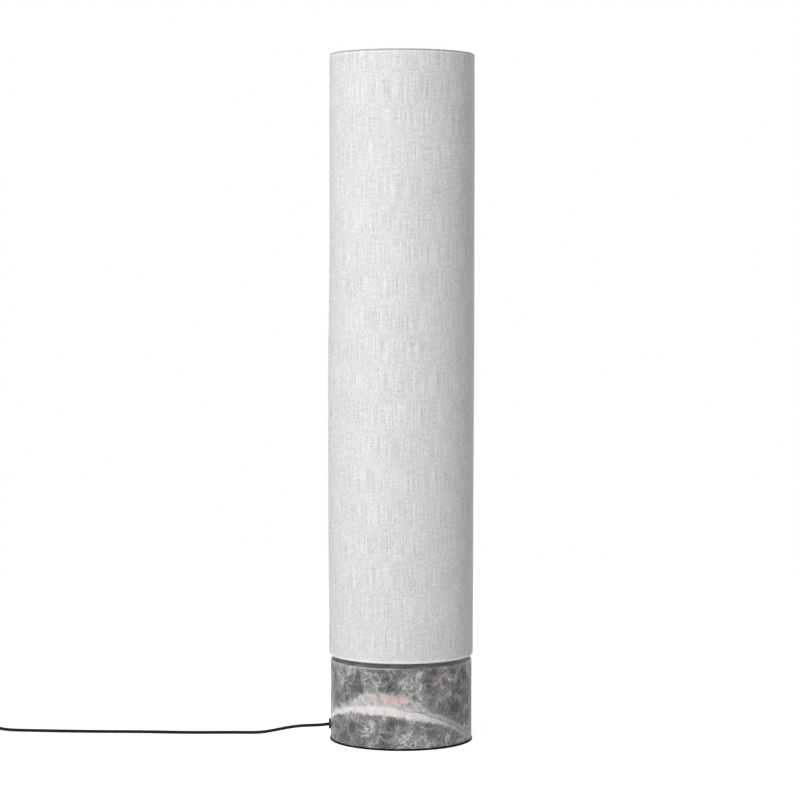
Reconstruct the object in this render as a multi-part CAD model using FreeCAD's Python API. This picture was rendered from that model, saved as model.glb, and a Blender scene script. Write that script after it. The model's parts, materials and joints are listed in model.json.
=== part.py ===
"""Column floor lamp: a marble drum, a threaded stem with three lampholders, and a tall linen
shade that lifts off upwards.

Millimetres, +Z up. The origin is the centre of the underside. The cord leaves towards -X."""
import FreeCAD, Part
import math
import os

Vector = FreeCAD.Vector
UP = Vector(0, 0, 1)

# ---------------------------------------------------------------- driving dimensions
# Foot
stone_r = 124.0
stone_h = 139.5
stone_edge = 1.5          # eased edge, top and bottom
pad_t = 2.5
pad_lip = 1.2             # the pad shows as a thin dark line round the stone
recess_r = 55.0           # wiring recess, cut from below
recess_h = 29.5
plate_r = 89.7            # steel lid of the recess
plate_t = 2.0
plate_screw_ring_r = 72.0
plate_screws_n = 3
plate_screw_len = 14.0

# Stem: an M10 threaded tube with spacer tubes over it
rod_r = 5.0
rod_bore_r = 3.5
stem_tube_r = 8.0
stem_tube_wall = 1.2
flange_r = 35.0
flange_h = 12.0
flange_rim = 3.0
nut_af = 14.0             # hexagon nuts, across flats
nut_h = 5.0
washer_r = 15.0
washer_t = 2.0
rod_below_nut = 2.0

# Shade
shadow_gap = 8.0
shade_r = 126.0
shade_h = 1050.0
linen_t = 0.9
liner_t = 0.6
hem_fold = 12.0           # height of the cloth turned in over each ring
hem_corner_r = 3.0
ring_wire_r = 2.0
spider_arms = 3
spider_drop = 25.5        # from the top hem down to the seat of the hub
spider_flat = 18.0        # level run of each arm behind the ring
hub_r = 16.0
hub_t = 3.0
seat_nut_h = 6.0
thumb_nut_r = 11.0
thumb_nut_h = 9.0
thumb_nut_flutes = 18
rod_above_nut = 1.5

# Gallery that centres the lower hem
gallery_t = 3.0
gallery_hub_r = 13.0
gallery_arm_w = 8.0
gallery_tip_l = 11.0
gallery_tip_wall = 2.0

# Lampholders and bulbs
holders_n = 3
first_bracket_rise = 143.0      # from the gallery to the lowest bracket
last_bracket_below_seat = 265.5
bracket_reach = 45.0
bracket_t = 5.0
bracket_eye_r = 11.0
holder_r = 20.0
holder_cap_h = 24.0
holder_skirt_h = 30.0
holder_entry_h = 8.0
disc_floor = 14.0               # contact disc above the holder's foot
disc_h = 6.0
screw_shell_r = 14.1
screw_shell_wall = 0.55
screw_shell_h = 24.0
bulb_cap_r = 13.2
bulb_cap_h = 25.0
bulb_r = 30.0
bulb_len = 107.0
bulb_neck_r = 14.0
bulb_wall = 1.2
nipple_below = 7.0

# Wiring inside
wire_r = 2.5                    # the bundle in the stem
lead_r = 2.2
lead_drop = 26.0                # side hole below each bracket
lead_bend_r = 12.0
block_l, block_w, block_h = 14.0, 20.0, 12.0
block_x = -30.0
grip_l, grip_w = 6.5, 24.0
grip_wall = 4.0
small_screw_r = 1.6

# Gland and cord
cord_r = 2.75
gland_z = 25.5
gland_flange_r = 9.2
gland_flange_t = 3.9
gland_sleeve_r = 6.0
gland_sleeve_l = 18.0
channel_r = 5.2
gland_seat = 0.4                # flat cut for the flange in the round wall

# Foot switch on the cord
switch_l, switch_w = 84.0, 44.0
switch_split_z = 7.0
switch_top_z = 19.0
switch_wall = 2.0
switch_axis_z = 6.0
switch_relief_l = 20.0
relief_r = 4.8
relief_neck_r = 3.9
button_r = 13.0
button_flange_r = 15.0
button_proud = 3.5
button_travel = 3.0
boss_r = 3.8
boss_from_end = 12.0
switch_core_l, switch_core_w, switch_core_h = 24.0, 18.0, 7.0
plunger_r = 4.0
spring_r = 7.4
spring_wall = 1.4
relief_ribs_n = 4               # on the switch and on the plug
rib_depth = 0.65

# Coil of put-away cord
coil_turns_each = 2.5           # turns in each of the two layers
coil_outer_r = 40.0
coil_pitch = 6.1
coil_layer = 6.0
coil_lift = 1.0                 # room for the tie below
tie_t = 0.8
tie_w = 8.0

# Plug: two round pins, flat body
plug_w, plug_h, plug_l = 35.3, 13.7, 36.0
plug_relief_l = 16.0
plug_neck_w, plug_neck_h = 13.0, 10.0
pin_r, pin_l, pin_spacing = 2.0, 19.0, 19.0

# Clearances
fit = 0.1                       # between pieces that are fixed together
running = 0.3                   # between pieces that move
cord_fit = 0.25                 # round the cord in its bush
hem_room = 0.3                  # round the ring wire in its hem

# ---------------------------------------------------------------- places worked out from them
stone_top = pad_t + stone_h
recess_top = pad_t + plate_t + recess_h
flange_top = stone_top + flange_h
gallery_top = flange_top + gallery_t
shade_bottom = stone_top + shadow_gap
shade_top = shade_bottom + shade_h
seat_z = shade_top - spider_drop - hub_t
stem_top = seat_z - seat_nut_h
thumb_nut_z = seat_z + hub_t
rod_top = thumb_nut_z + thumb_nut_h + rod_above_nut
rod_bottom = recess_top - washer_t - nut_h - rod_below_nut
first_bracket_z = gallery_top + first_bracket_rise
bracket_pitch = (seat_z - last_bracket_below_seat - first_bracket_z) / max(holders_n - 1, 1)
bracket_z = [first_bracket_z + i * bracket_pitch for i in range(holders_n)]
bracket_side = [1 if i % 2 == 0 else -1 for i in range(holders_n)]
liner_r = shade_r - linen_t - fit
ring_r = liner_r - liner_t - hem_room - ring_wire_r
ring_inset = linen_t + hem_room + ring_wire_r
hem_inner_r = ring_r - ring_wire_r - hem_room - linen_t
gallery_tip_r = hem_inner_r - running

# The cord's routes, chosen by hand: from the gland to the foot switch, and on to the coil
gland_face_x = -(stone_r - gland_seat + gland_flange_t)
MAINS_ROUTE = [
    (gland_face_x, 0, gland_z), (-141, 0, gland_z), (-160, 2.5, 23.6), (-180, 7.5, 20.4),
    (-199, 13.5, 16.4), (-217, 19.5, 11.6), (-234, 25.5, 7.0), (-251, 30.5, 3.9),
    (-270, 34.6, cord_r), (-306, 36.2, cord_r), (-349, 34.2, cord_r), (-391, 34.6, cord_r),
    (-434, 39.2, cord_r), (-478, 41.6, cord_r), (-525, 42.4, cord_r), (-572, 44.2, cord_r),
    (-616, 47.6, cord_r), (-654, 52.2, cord_r), (-686, 57.2, 3.4), (-714, 60, switch_axis_z),
    (-735, 60, switch_axis_z),
]
switch_x = MAINS_ROUTE[-1][0] - switch_relief_l - switch_l / 2
switch_y = MAINS_ROUTE[-1][1]
tail_x = switch_x - switch_l / 2 - switch_relief_l
coil_x, coil_y = -790.0, -52.0
coil_z = coil_lift + cord_r
coil_start = (coil_x - 2 * cord_r, coil_y + coil_outer_r, coil_z)
TAIL_ROUTE = [
    (tail_x, switch_y, switch_axis_z), (tail_x - 14, switch_y, switch_axis_z), (-889, 54, 4.6),
    (-899.5, 40, 3.2), (-902, 23, cord_r), (-896.5, 6.5, cord_r), (-882.5, -6.5, cord_r),
    (-862, -13.5, 3.0), (-838, -15, 3.4), (-816, coil_start[1], coil_z), coil_start,
]
plug_face = (-829.5, -94.0, plug_h / 2)

PARTS = {}


# ---------------------------------------------------------------- helpers
def keep(name, *solids):
    """A sub-part is one solid, or a group of separate solids under one name."""
    PARTS[name] = solids[0] if len(solids) == 1 else Part.makeCompound(list(solids))


def cylinder(r, z0, z1, x=0.0, y=0.0):
    return Part.makeCylinder(r, z1 - z0, Vector(x, y, z0), UP)


def tube(r_out, r_in, z0, z1, x=0.0, y=0.0):
    return cylinder(r_out, z0, z1, x, y).cut(cylinder(r_in, z0, z1, x, y))


def turned(points, x=0.0, y=0.0, z=0.0):
    """A profile of (radius, height) points turned about the upright line through x, y. A point
    of four numbers ends an arc: first a point that the arc passes, then its end."""
    edges, last = [], Vector(points[-1][-2], 0, points[-1][-1])
    for p in points:
        end = Vector(p[-2], 0, p[-1])
        if (end - last).Length < 1e-7:
            continue
        if len(p) == 4:
            edges.append(Part.Arc(last, Vector(p[0], 0, p[1]), end).toShape())
        else:
            edges.append(Part.LineSegment(last, end).toShape())
        last = end
    solid = Part.Face(Part.Wire(edges)).revolve(Vector(0, 0, 0), UP, 360)
    solid.translate(Vector(x, y, z))
    return solid


def round_corner(centre_r, centre_z, radius, angle):
    """The point at an angle, in degrees, on a circle in the (radius, height) plane."""
    a = math.radians(angle)
    return (centre_r + radius * math.cos(a), centre_z + radius * math.sin(a))


def hexagon(af, z0, z1, x=0.0, y=0.0):
    r = af / math.sqrt(3)
    ring = [Vector(x + r * math.cos(math.radians(60 * i)), y + r * math.sin(math.radians(60 * i)), z0)
            for i in range(7)]
    return Part.Face(Part.makePolygon(ring)).extrude(Vector(0, 0, z1 - z0))


def nut(af, bore_r, z0, z1, x=0.0, y=0.0):
    return hexagon(af, z0, z1, x, y).cut(cylinder(bore_r, z0, z1, x, y))


def stadium(length, width, z0, z1, x=0.0, y=0.0):
    """A bar along X with half-round ends."""
    r, half = width / 2, (length - width) / 2
    a, b, c, d = (Vector(x - half, y - r, z0), Vector(x + half, y - r, z0),
                  Vector(x + half, y + r, z0), Vector(x - half, y + r, z0))
    wire = Part.Wire([
        Part.LineSegment(a, b).toShape(), Part.Arc(b, Vector(x + half + r, y, z0), c).toShape(),
        Part.LineSegment(c, d).toShape(), Part.Arc(d, Vector(x - half - r, y, z0), a).toShape(),
    ])
    return Part.Face(wire).extrude(Vector(0, 0, z1 - z0))


def eye_bar(r1, r2, reach, z0, z1):
    """A flat bar from a round end at the origin to a smaller one at x = reach."""
    tilt = math.acos((r1 - r2) / reach)
    ends = [Vector(r1 * math.cos(tilt), r1 * math.sin(tilt), z0),
            Vector(reach + r2 * math.cos(tilt), r2 * math.sin(tilt), z0)]
    low = [Vector(p.x, -p.y, z0) for p in ends]
    wire = Part.Wire([
        Part.LineSegment(ends[0], ends[1]).toShape(),
        Part.Arc(ends[1], Vector(reach + r2, 0, z0), low[1]).toShape(),
        Part.LineSegment(low[1], low[0]).toShape(),
        Part.Arc(low[0], Vector(-r1, 0, z0), ends[0]).toShape(),
    ])
    return Part.Face(wire).extrude(Vector(0, 0, z1 - z0))


def turn_about_z(shape, degrees, x=0.0, y=0.0):
    copy = shape.copy()
    copy.rotate(Vector(x, y, 0), UP, degrees)
    return copy


def rounded_path(points, name=None):
    """Straight runs joined by tangent arcs, each as large as its two runs allow."""
    pts = [Vector(*p) for p in points]
    edges, start, radii = [], pts[0], []
    for before, here, after in zip(pts, pts[1:], pts[2:]):
        u, v = before - here, after - here
        tangent = 0.45 * min(u.Length, v.Length)
        u.normalize()
        v.normalize()
        half_turn = (math.pi - u.getAngle(v)) / 2
        radius = tangent / math.tan(half_turn)
        middle = u + v
        middle.normalize()
        arc_in, arc_out = here + u * tangent, here + v * tangent
        arc_mid = here + middle * (radius / math.cos(half_turn) - radius)
        edges += [Part.LineSegment(start, arc_in).toShape(),
                  Part.Arc(arc_in, arc_mid, arc_out).toShape()]
        start = arc_out
        radii.append(radius)
    edges.append(Part.LineSegment(start, pts[-1]).toShape())
    if name:
        print(name, "bend radii in mm:", ", ".join(f"{r:.0f}" for r in radii))
    return Part.Wire(edges)


def swept(path, radius, name=None):
    """A round tube along a path whose pieces meet tangent."""
    first = path.OrderedEdges[0]
    start = first.valueAt(first.FirstParameter)
    heading = first.tangentAt(first.FirstParameter)
    section = Part.Wire([Part.Circle(start, heading, radius).toShape()])
    solid = path.makePipeShell([section], True, False)
    if name:
        ideal = math.pi * radius ** 2 * path.Length
        print(f"{name}: length {path.Length:.0f} mm, volume / (section x length) = "
              f"{solid.Volume / ideal:.4f}, valid {solid.isValid()}")
    return solid


def biarc(p0, t0, p1, t1):
    """Two arcs that leave p0 along t0 and reach p1 along t1, with equal tangent lengths."""
    v = p1 - p0
    t = t0 + t1
    a, b, c = 2 * (1 - t0.dot(t1)), 2 * v.dot(t), -v.dot(v)
    d = -c / b if abs(a) < 1e-9 else (-b + math.sqrt(b * b - 4 * a * c)) / (2 * a)
    joint = (p0 + t0 * d + p1 - t1 * d) * 0.5
    return [arc_along(p0, t0, joint), arc_along(p1, t1 * -1, joint)]


def arc_along(start, tangent, end):
    """The edge from start to end that leaves start along a tangent."""
    chord = end - start
    sideways = tangent * chord.Length - chord
    if sideways.Length < 1e-6 * chord.Length:
        return Part.LineSegment(start, end).toShape()
    normal = chord - tangent * chord.dot(tangent)
    normal.normalize()
    radius = chord.dot(chord) / (2 * chord.dot(normal))
    centre = start + normal * radius
    outwards = (start + end) * 0.5 - centre
    outwards.normalize()
    return Part.Arc(start, centre + outwards * radius, end).toShape()


# ---------------------------------------------------------------- foot
def make_foot():
    keep("foot_pad", cylinder(stone_r + pad_lip, 0, pad_t))
    stone = turned([
        (0, pad_t), (stone_r - stone_edge, pad_t),
        (*round_corner(stone_r - stone_edge, pad_t + stone_edge, stone_edge, -45),
         stone_r, pad_t + stone_edge),
        (stone_r, stone_top - stone_edge),
        (*round_corner(stone_r - stone_edge, stone_top - stone_edge, stone_edge, 45),
         stone_r - stone_edge, stone_top),
        (0, stone_top),
    ])
    plate_top = pad_t + plate_t
    stone = stone.cut(cylinder(plate_r + running, pad_t, plate_top))
    stone = stone.cut(cylinder(recess_r, plate_top, recess_top))
    stone = stone.cut(cylinder(rod_r + 4 * fit, recess_top, stone_top))
    west = Vector(-1, 0, 0)
    seat_x = -(stone_r - gland_seat)
    for radius, depth in ((channel_r, stone_r), (gland_sleeve_r + fit, gland_sleeve_l + 1.0)):
        stone = stone.cut(Part.makeCylinder(radius, depth, Vector(seat_x - 1 + depth, 0, gland_z), west))
    stone = stone.cut(Part.makeCylinder(gland_flange_r + fit, 5, Vector(seat_x, 0, gland_z), west))
    plate = cylinder(plate_r, pad_t, plate_top)
    screws = []
    for i in range(plate_screws_n):
        a = math.radians(60 + 360 * i / plate_screws_n)
        x, y = plate_screw_ring_r * math.cos(a), plate_screw_ring_r * math.sin(a)
        head_r = 2 * small_screw_r
        screw = turned([(0, pad_t), (head_r, pad_t), (small_screw_r, plate_top),
                        (small_screw_r, plate_top + plate_screw_len), (0, plate_top + plate_screw_len)],
                       x, y)
        screws.append(screw)
        plate = plate.cut(turned([(0, pad_t), (head_r + fit, pad_t), (small_screw_r + fit, plate_top),
                                  (0, plate_top)], x, y))
        stone = stone.cut(cylinder(small_screw_r + fit, plate_top,
                                   plate_top + plate_screw_len + 1, x, y))
    for y in grip_screw_y():
        stone = stone.cut(cylinder(small_screw_r + fit, recess_top, recess_top + 7, grip_x(), y))
    keep("stone_base", stone)
    keep("base_plate", plate)
    keep("plate_screws", *screws)


def grip_x():
    """The cord grip sits just before the terminal block."""
    return block_x - 1.0 - grip_l / 2


def grip_screw_y():
    return (-grip_w / 2 + 4, grip_w / 2 - 4)


def make_gland():
    """A turned bush: flange outside, sleeve pushed into the stone, with a bell mouth."""
    seat_x = -(stone_r - gland_seat)
    bore = cord_r + cord_fit
    lip = 0.9
    bush = turned([
        (bore, -gland_sleeve_l), (gland_sleeve_r - lip, -gland_sleeve_l),
        (gland_sleeve_r, -gland_sleeve_l + lip), (gland_sleeve_r, 0), (gland_flange_r, 0),
        (gland_flange_r, gland_flange_t - lip),
        (*round_corner(gland_flange_r - lip, gland_flange_t - lip, lip, 45),
         gland_flange_r - lip, gland_flange_t),
        (bore, gland_flange_t),
    ])
    bush.rotate(Vector(0, 0, 0), Vector(0, 1, 0), -90)
    bush.translate(Vector(seat_x, 0, gland_z))
    keep("cord_gland", bush)


def make_wiring():
    """The cord inside the stone, its grip and terminal block, and the wires up the stem."""
    clamp_z = recess_top - fit - cord_r
    bend_x = grip_x() - grip_l / 2 - 4.0
    rise = clamp_z - gland_z
    route = [(gland_face_x, 0, gland_z), (bend_x - 1.7 * rise, 0, gland_z),
             (bend_x, 0, clamp_z), (block_x, 0, clamp_z)]
    keep("inner_cord", swept(rounded_path(route, "inner_cord"), cord_r, "inner_cord"))

    grip_z = clamp_z - cord_r - grip_wall
    grip = Part.makeBox(grip_l, grip_w, recess_top - grip_z,
                        Vector(grip_x() - grip_l / 2, -grip_w / 2, grip_z))
    channel = cord_r + fit
    grip = grip.cut(Part.makeCylinder(channel, grip_l, Vector(grip_x() - grip_l / 2, 0, clamp_z),
                                      Vector(1, 0, 0)))
    grip = grip.cut(Part.makeBox(grip_l, 2 * channel, recess_top - clamp_z,
                                 Vector(grip_x() - grip_l / 2, -channel, clamp_z)))
    screws = []
    for y in grip_screw_y():
        grip = grip.cut(cylinder(small_screw_r + fit, grip_z, recess_top, grip_x(), y))
        screws.append(cylinder(small_screw_r, grip_z, recess_top + 6, grip_x(), y).fuse(
            cylinder(1.9 * small_screw_r, grip_z - 1.8, grip_z, grip_x(), y)))
    keep("cord_grip", grip)
    keep("grip_screws", *[s.removeSplitter() for s in screws])

    block_z = recess_top - block_h
    block = Part.makeBox(block_l, block_w, block_h, Vector(block_x, -block_w / 2, block_z))
    upright = [e for e in block.Edges if abs(e.tangentAt(e.FirstParameter).z) > 0.9]
    block = block.makeFillet(1.5, upright)
    for y in (-block_w / 4, block_w / 4):
        for x in (0.22, 0.78):
            block = block.cut(cylinder(1.5, block_z, block_z + 5, block_x + x * block_l, y))
    keep("terminal_block", block)

    # Down out of the rod, round below the nut, and up into the block
    turn_r = -(block_x + block_l / 2) / 2
    low_z = block_z - 2.0 - turn_r
    diagonal = turn_r * math.sqrt(0.5)
    top, left = Vector(0, 0, bracket_z[-1]), Vector(-2 * turn_r, 0, low_z + turn_r)
    entry = Vector(0, 0, low_z + turn_r)
    bottom = Vector(-turn_r, 0, low_z)
    path = Part.Wire([
        Part.LineSegment(top, entry).toShape(),
        Part.Arc(entry, Vector(-turn_r + diagonal, 0, low_z + turn_r - diagonal), bottom).toShape(),
        Part.Arc(bottom, Vector(-turn_r - diagonal, 0, low_z + turn_r - diagonal), left).toShape(),
        Part.LineSegment(left, Vector(left.x, 0, block_z)).toShape(),
    ])
    keep("stem_wire", swept(path, wire_r, "stem_wire"))


# ---------------------------------------------------------------- stem
def make_stem():
    washer_z = recess_top - washer_t
    keep("stem_washer", tube(washer_r, rod_r + fit, washer_z, recess_top))
    keep("stem_nut", nut(nut_af + 3, rod_r + fit, washer_z - nut_h, washer_z))
    flange = turned([
        (rod_r + fit, stone_top), (flange_r, stone_top), (flange_r, stone_top + flange_rim),
        (flange_r - 1.5, stone_top + flange_rim + 1),
        (gallery_hub_r + 8, stone_top + flange_rim + 2.5,
         gallery_hub_r, flange_top - 2), (gallery_hub_r, flange_top), (rod_r + fit, flange_top),
    ])
    keep("stem_flange", flange)

    rod = tube(rod_r, rod_bore_r, rod_bottom, rod_top)
    floors = [gallery_top] + [z + bracket_t for z in bracket_z]
    ceilings = bracket_z + [stem_top]
    tubes = [tube(stem_tube_r, stem_tube_r - stem_tube_wall, low, high)
             for low, high in zip(floors, ceilings)]
    for i, (z, side) in enumerate(zip(bracket_z, bracket_side)):
        hole = Part.makeCylinder(lead_r + 3 * fit, stem_tube_r + 1, Vector(0, 0, z - lead_drop),
                                 Vector(side, 0, 0))
        rod = rod.cut(hole)
        tubes[i] = tubes[i].cut(hole)
    keep("stem_rod", rod)
    for i, piece in enumerate(tubes, 1):
        keep(f"stem_tube_{i}", piece)
    keep("seat_nut", nut(nut_af + 3, rod_r + fit, stem_top, seat_z))


# ---------------------------------------------------------------- lampholders
def make_holders():
    nipples, nuts, leads, discs, shells = [], [], [], [], []
    for i, (z, side) in enumerate(zip(bracket_z, bracket_side), 1):
        x = side * bracket_reach
        bar = eye_bar(gallery_hub_r, bracket_eye_r, bracket_reach, z, z + bracket_t)
        bar = bar.cut(cylinder(rod_r + fit, z, z + bracket_t))
        bar = bar.cut(cylinder(rod_r + fit, z, z + bracket_t, bracket_reach))
        keep(f"holder_bracket_{i}", turn_about_z(bar, 0 if side > 0 else 180))
        foot = z + bracket_t
        keep(f"lampholder_cap_{i}", holder_cap(x, foot))
        keep(f"lampholder_skirt_{i}", holder_skirt(x, foot + holder_cap_h))
        disc_r = screw_shell_r + 1.2
        discs.append(cylinder(disc_r, foot + disc_floor, foot + disc_floor + disc_h, x))
        shells.append(tube(screw_shell_r, screw_shell_r - screw_shell_wall,
                           foot + disc_floor + disc_h, foot + disc_floor + disc_h + screw_shell_h, x))
        nipples.append(tube(rod_r, rod_bore_r, z - nipple_below, foot + holder_entry_h - 1, x))
        nuts.append(nut(nut_af, rod_r + fit, z - 0.7 * nut_h, z, x))
        leads.append(holder_lead(side, z, foot + disc_floor))
        keep(f"bulb_cap_{i}", bulb_cap(x, foot + disc_floor + disc_h + running))
        keep(f"bulb_globe_{i}", bulb_globe(x, foot + disc_floor + disc_h + running))
    keep("holder_nipples", *nipples)
    keep("holder_nuts", *nuts)
    keep("holder_leads", *leads)
    keep("contact_discs", *discs)
    keep("screw_shells", *shells)


def holder_cap(x, z):
    """The lower half of a lampholder: threaded entry, dome, and a ledge for the contact disc."""
    disc_pocket = screw_shell_r + 1.2 + fit
    inner = disc_pocket - 3.0
    return turned([
        (rod_r + fit, 0), (9, 0), (9, 4), (15, 6.5), (holder_r - 1, 10.5), (holder_r, 14),
        (holder_r, holder_cap_h),
        (disc_pocket, holder_cap_h), (disc_pocket, disc_floor), (inner, disc_floor),
        (inner, holder_entry_h), (rod_r + fit, holder_entry_h),
    ], x, 0, z)


def holder_skirt(x, z):
    """The upper half: a sleeve round the screw shell that opens to a wide mouth."""
    shell_top = disc_floor + disc_h + screw_shell_h - holder_cap_h
    mouth_r = holder_r - 1.8
    return turned([
        (screw_shell_r + fit, 0), (holder_r, 0), (holder_r, holder_skirt_h - 1),
        (holder_r - 0.3, holder_skirt_h - 0.3, holder_r - 1, holder_skirt_h),
        (mouth_r, holder_skirt_h), (mouth_r, shell_top + 2), (screw_shell_r + fit, shell_top),
    ], x, 0, z)


def holder_lead(side, z, top):
    """From the stem's side hole out under the bracket, and up through the nipple."""
    low = z - lead_drop
    a = Vector(side * (wire_r + 0.1), 0, low)
    b = Vector(side * (bracket_reach - lead_bend_r), 0, low)
    d = lead_bend_r * (1 - math.sqrt(0.5))
    bend = Vector(side * (bracket_reach - d), 0, low + d)
    c = Vector(side * bracket_reach, 0, low + lead_bend_r)
    path = Part.Wire([Part.LineSegment(a, b).toShape(), Part.Arc(b, bend, c).toShape(),
                      Part.LineSegment(c, Vector(c.x, 0, top)).toShape()])
    return swept(path, lead_r)


def bulb_cap(x, z):
    """The bulb's screw cap: centre contact, insulator cone, and rolled thread."""
    groove, rows = 0.6, 4
    thread_low, thread_high = 7.0, bulb_cap_h - 3.0
    step = (thread_high - thread_low) / rows
    profile = [(0, 0), (3, 0), (4.8, 2), (8.5, 3.5), (bulb_cap_r - groove, thread_low)]
    for i in range(rows):
        low = thread_low + i * step
        profile += [(bulb_cap_r, low + step / 2), (bulb_cap_r - groove, low + step)]
    profile += [(bulb_cap_r - groove, bulb_cap_h), (0, bulb_cap_h)]
    return turned(profile, x, 0, z)


def bulb_globe(x, z):
    """The opal globe: a neck that flares into a ball, one wall thick and open at the cap."""
    centre_z = bulb_len - bulb_r
    outer, inner = [], []
    for offset, row in ((0.0, outer), (bulb_wall, inner)):
        r = bulb_r - offset
        shoulder = math.radians(-42)
        sr, sz = r * math.cos(shoulder), centre_z + r * math.sin(shoulder)
        neck = bulb_neck_r - offset
        low = bulb_cap_h + 4.0
        row += [(neck, bulb_cap_h), (neck, low),
                ((neck + sr) / 2 - 1.2, (low + sz) / 2 + 1.6, sr, sz),
                (r * math.cos(0.2), centre_z + r * math.sin(0.2), 0, centre_z + r)]
    # Out along the outside to the crown, and back down the inside
    back = [(0, centre_z + bulb_r - bulb_wall)]
    back.append((inner[3][0], inner[3][1], inner[2][2], inner[2][3]))
    back.append((inner[2][0], inner[2][1], inner[1][0], inner[1][1]))
    back.append((inner[0][0], inner[0][1]))
    return turned(outer + back, x, 0, z)


# ---------------------------------------------------------------- gallery and shade
def make_gallery():
    hub = cylinder(gallery_hub_r, flange_top, gallery_top)
    tips, tip_h = [], gallery_t + 2 * gallery_tip_wall
    arm_end = gallery_tip_r - gallery_tip_wall - 1.0
    tip_x = gallery_tip_r - gallery_tip_l
    for i in range(spider_arms):
        angle = 360.0 * i / spider_arms
        arm = Part.makeBox(arm_end, gallery_arm_w, gallery_t, Vector(0, -gallery_arm_w / 2, flange_top))
        hub = hub.fuse(turn_about_z(arm, angle))
        tip_w = gallery_arm_w + 2 * gallery_tip_wall
        tip = Part.makeBox(gallery_tip_l, tip_w, tip_h,
                           Vector(tip_x, -tip_w / 2, flange_top - gallery_tip_wall))
        outer = [e for e in tip.Edges if abs(e.tangentAt(e.FirstParameter).z) > 0.9
                 and e.CenterOfMass.x > tip_x + 1]
        tip = tip.makeFillet(gallery_tip_wall, outer)
        pocket = Part.makeBox(arm_end + fit, gallery_arm_w + 2 * fit, gallery_t + 2 * fit,
                              Vector(0, -gallery_arm_w / 2 - fit, flange_top - fit))
        tips.append(turn_about_z(tip.cut(pocket), angle))
    hub = hub.removeSplitter().cut(cylinder(rod_r + fit, flange_top, gallery_top))
    keep("lower_gallery", hub)
    keep("gallery_tips", *tips)


def hem(r_wall, z_edge, way):
    """The cloth's section round one ring: over the ring and back down inside. It starts on the
    outside of the sleeve and ends on the sleeve's inside. way is +1 at the top, -1 below."""
    c, t, r_in = hem_corner_r, linen_t, hem_inner_r
    z = z_edge - way * c
    fold = z_edge - way * hem_fold

    def corner(centre_r, radius, angle):
        a = math.radians(angle)
        return centre_r + radius * math.cos(a), z + way * radius * math.sin(a)

    return [
        (r_wall, z), (*corner(r_wall - c, c, 45), r_wall - c, z_edge), (r_in + c, z_edge),
        (*corner(r_in + c, c, 135), r_in, z), (r_in, fold), (r_in + t, fold), (r_in + t, z),
        (*corner(r_in + c, c - t, 135), r_in + c, z_edge - way * t), (r_wall - c, z_edge - way * t),
        (*corner(r_wall - c, c - t, 45), r_wall - t, z),
    ]


def reversed_profile(points):
    """The same section walked the other way, with each arc still passing its own point."""
    out = []
    for i in range(len(points) - 1, -1, -1):
        end = points[i][-2:]
        nxt = points[i + 1] if i + 1 < len(points) else ()
        out.append((nxt[0], nxt[1], *end) if len(nxt) == 4 else tuple(end))
    return out


def spider_arm_path():
    ring_z = shade_top - ring_inset
    hub_z = seat_z + hub_t / 2
    return [(ring_r, 0, ring_z), (ring_r - spider_flat, 0, ring_z), (2 * hub_r, 0, hub_z),
            (thumb_nut_r + 1.5, 0, hub_z)]


def make_shade():
    top = hem(shade_r, shade_top, 1)
    bottom = reversed_profile(hem(shade_r, shade_bottom, -1))
    cover = turned(top + bottom)
    arm_room = ring_wire_r + 4 * fit
    pocket_top = shade_top - ring_inset + ring_wire_r + running
    for i in range(spider_arms):
        slit = Part.makeBox(ring_r - hem_inner_r + 1, 2 * arm_room, hem_fold,
                            Vector(hem_inner_r - 1, -arm_room, pocket_top - hem_fold))
        cover = cover.cut(turn_about_z(slit, 360.0 * i / spider_arms))
    keep("shade_cover", cover)
    keep("shade_liner", tube(liner_r, liner_r - liner_t, shade_bottom + hem_corner_r,
                             shade_top - hem_corner_r))

    def ring(z):
        return Part.makeTorus(ring_r, ring_wire_r, Vector(0, 0, z), UP)

    keep("bottom_ring", ring(shade_bottom + ring_inset))
    spider = ring(shade_top - ring_inset)
    for i in range(spider_arms):
        arm = swept(rounded_path(spider_arm_path()), ring_wire_r)
        spider = spider.fuse(turn_about_z(arm, 360.0 * i / spider_arms))
    spider = spider.fuse(cylinder(hub_r, seat_z, seat_z + hub_t))
    spider = spider.cut(cylinder(rod_r + 4 * fit, seat_z - 1, seat_z + hub_t + 1))
    keep("top_ring", spider.removeSplitter())

    knob = cylinder(thumb_nut_r, thumb_nut_z, thumb_nut_z + thumb_nut_h)
    knob = knob.makeChamfer(1.0, [e for e in knob.Edges if e.Length > thumb_nut_h + 1])
    knob = knob.cut(cylinder(rod_r + running, thumb_nut_z, thumb_nut_z + thumb_nut_h))
    for i in range(thumb_nut_flutes):
        a = 2 * math.pi * i / thumb_nut_flutes
        knob = knob.cut(cylinder(0.9, thumb_nut_z, thumb_nut_z + thumb_nut_h,
                                 (thumb_nut_r + 0.3) * math.cos(a), (thumb_nut_r + 0.3) * math.sin(a)))
    keep("thumb_nut", knob)


# ---------------------------------------------------------------- cord, foot switch, plug
def make_cord():
    keep("mains_cord", swept(rounded_path(MAINS_ROUTE, "mains_cord"), cord_r, "mains_cord"))
    keep("cord_tail", swept(rounded_path(TAIL_ROUTE, "cord_tail"), cord_r, "cord_tail"))


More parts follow.
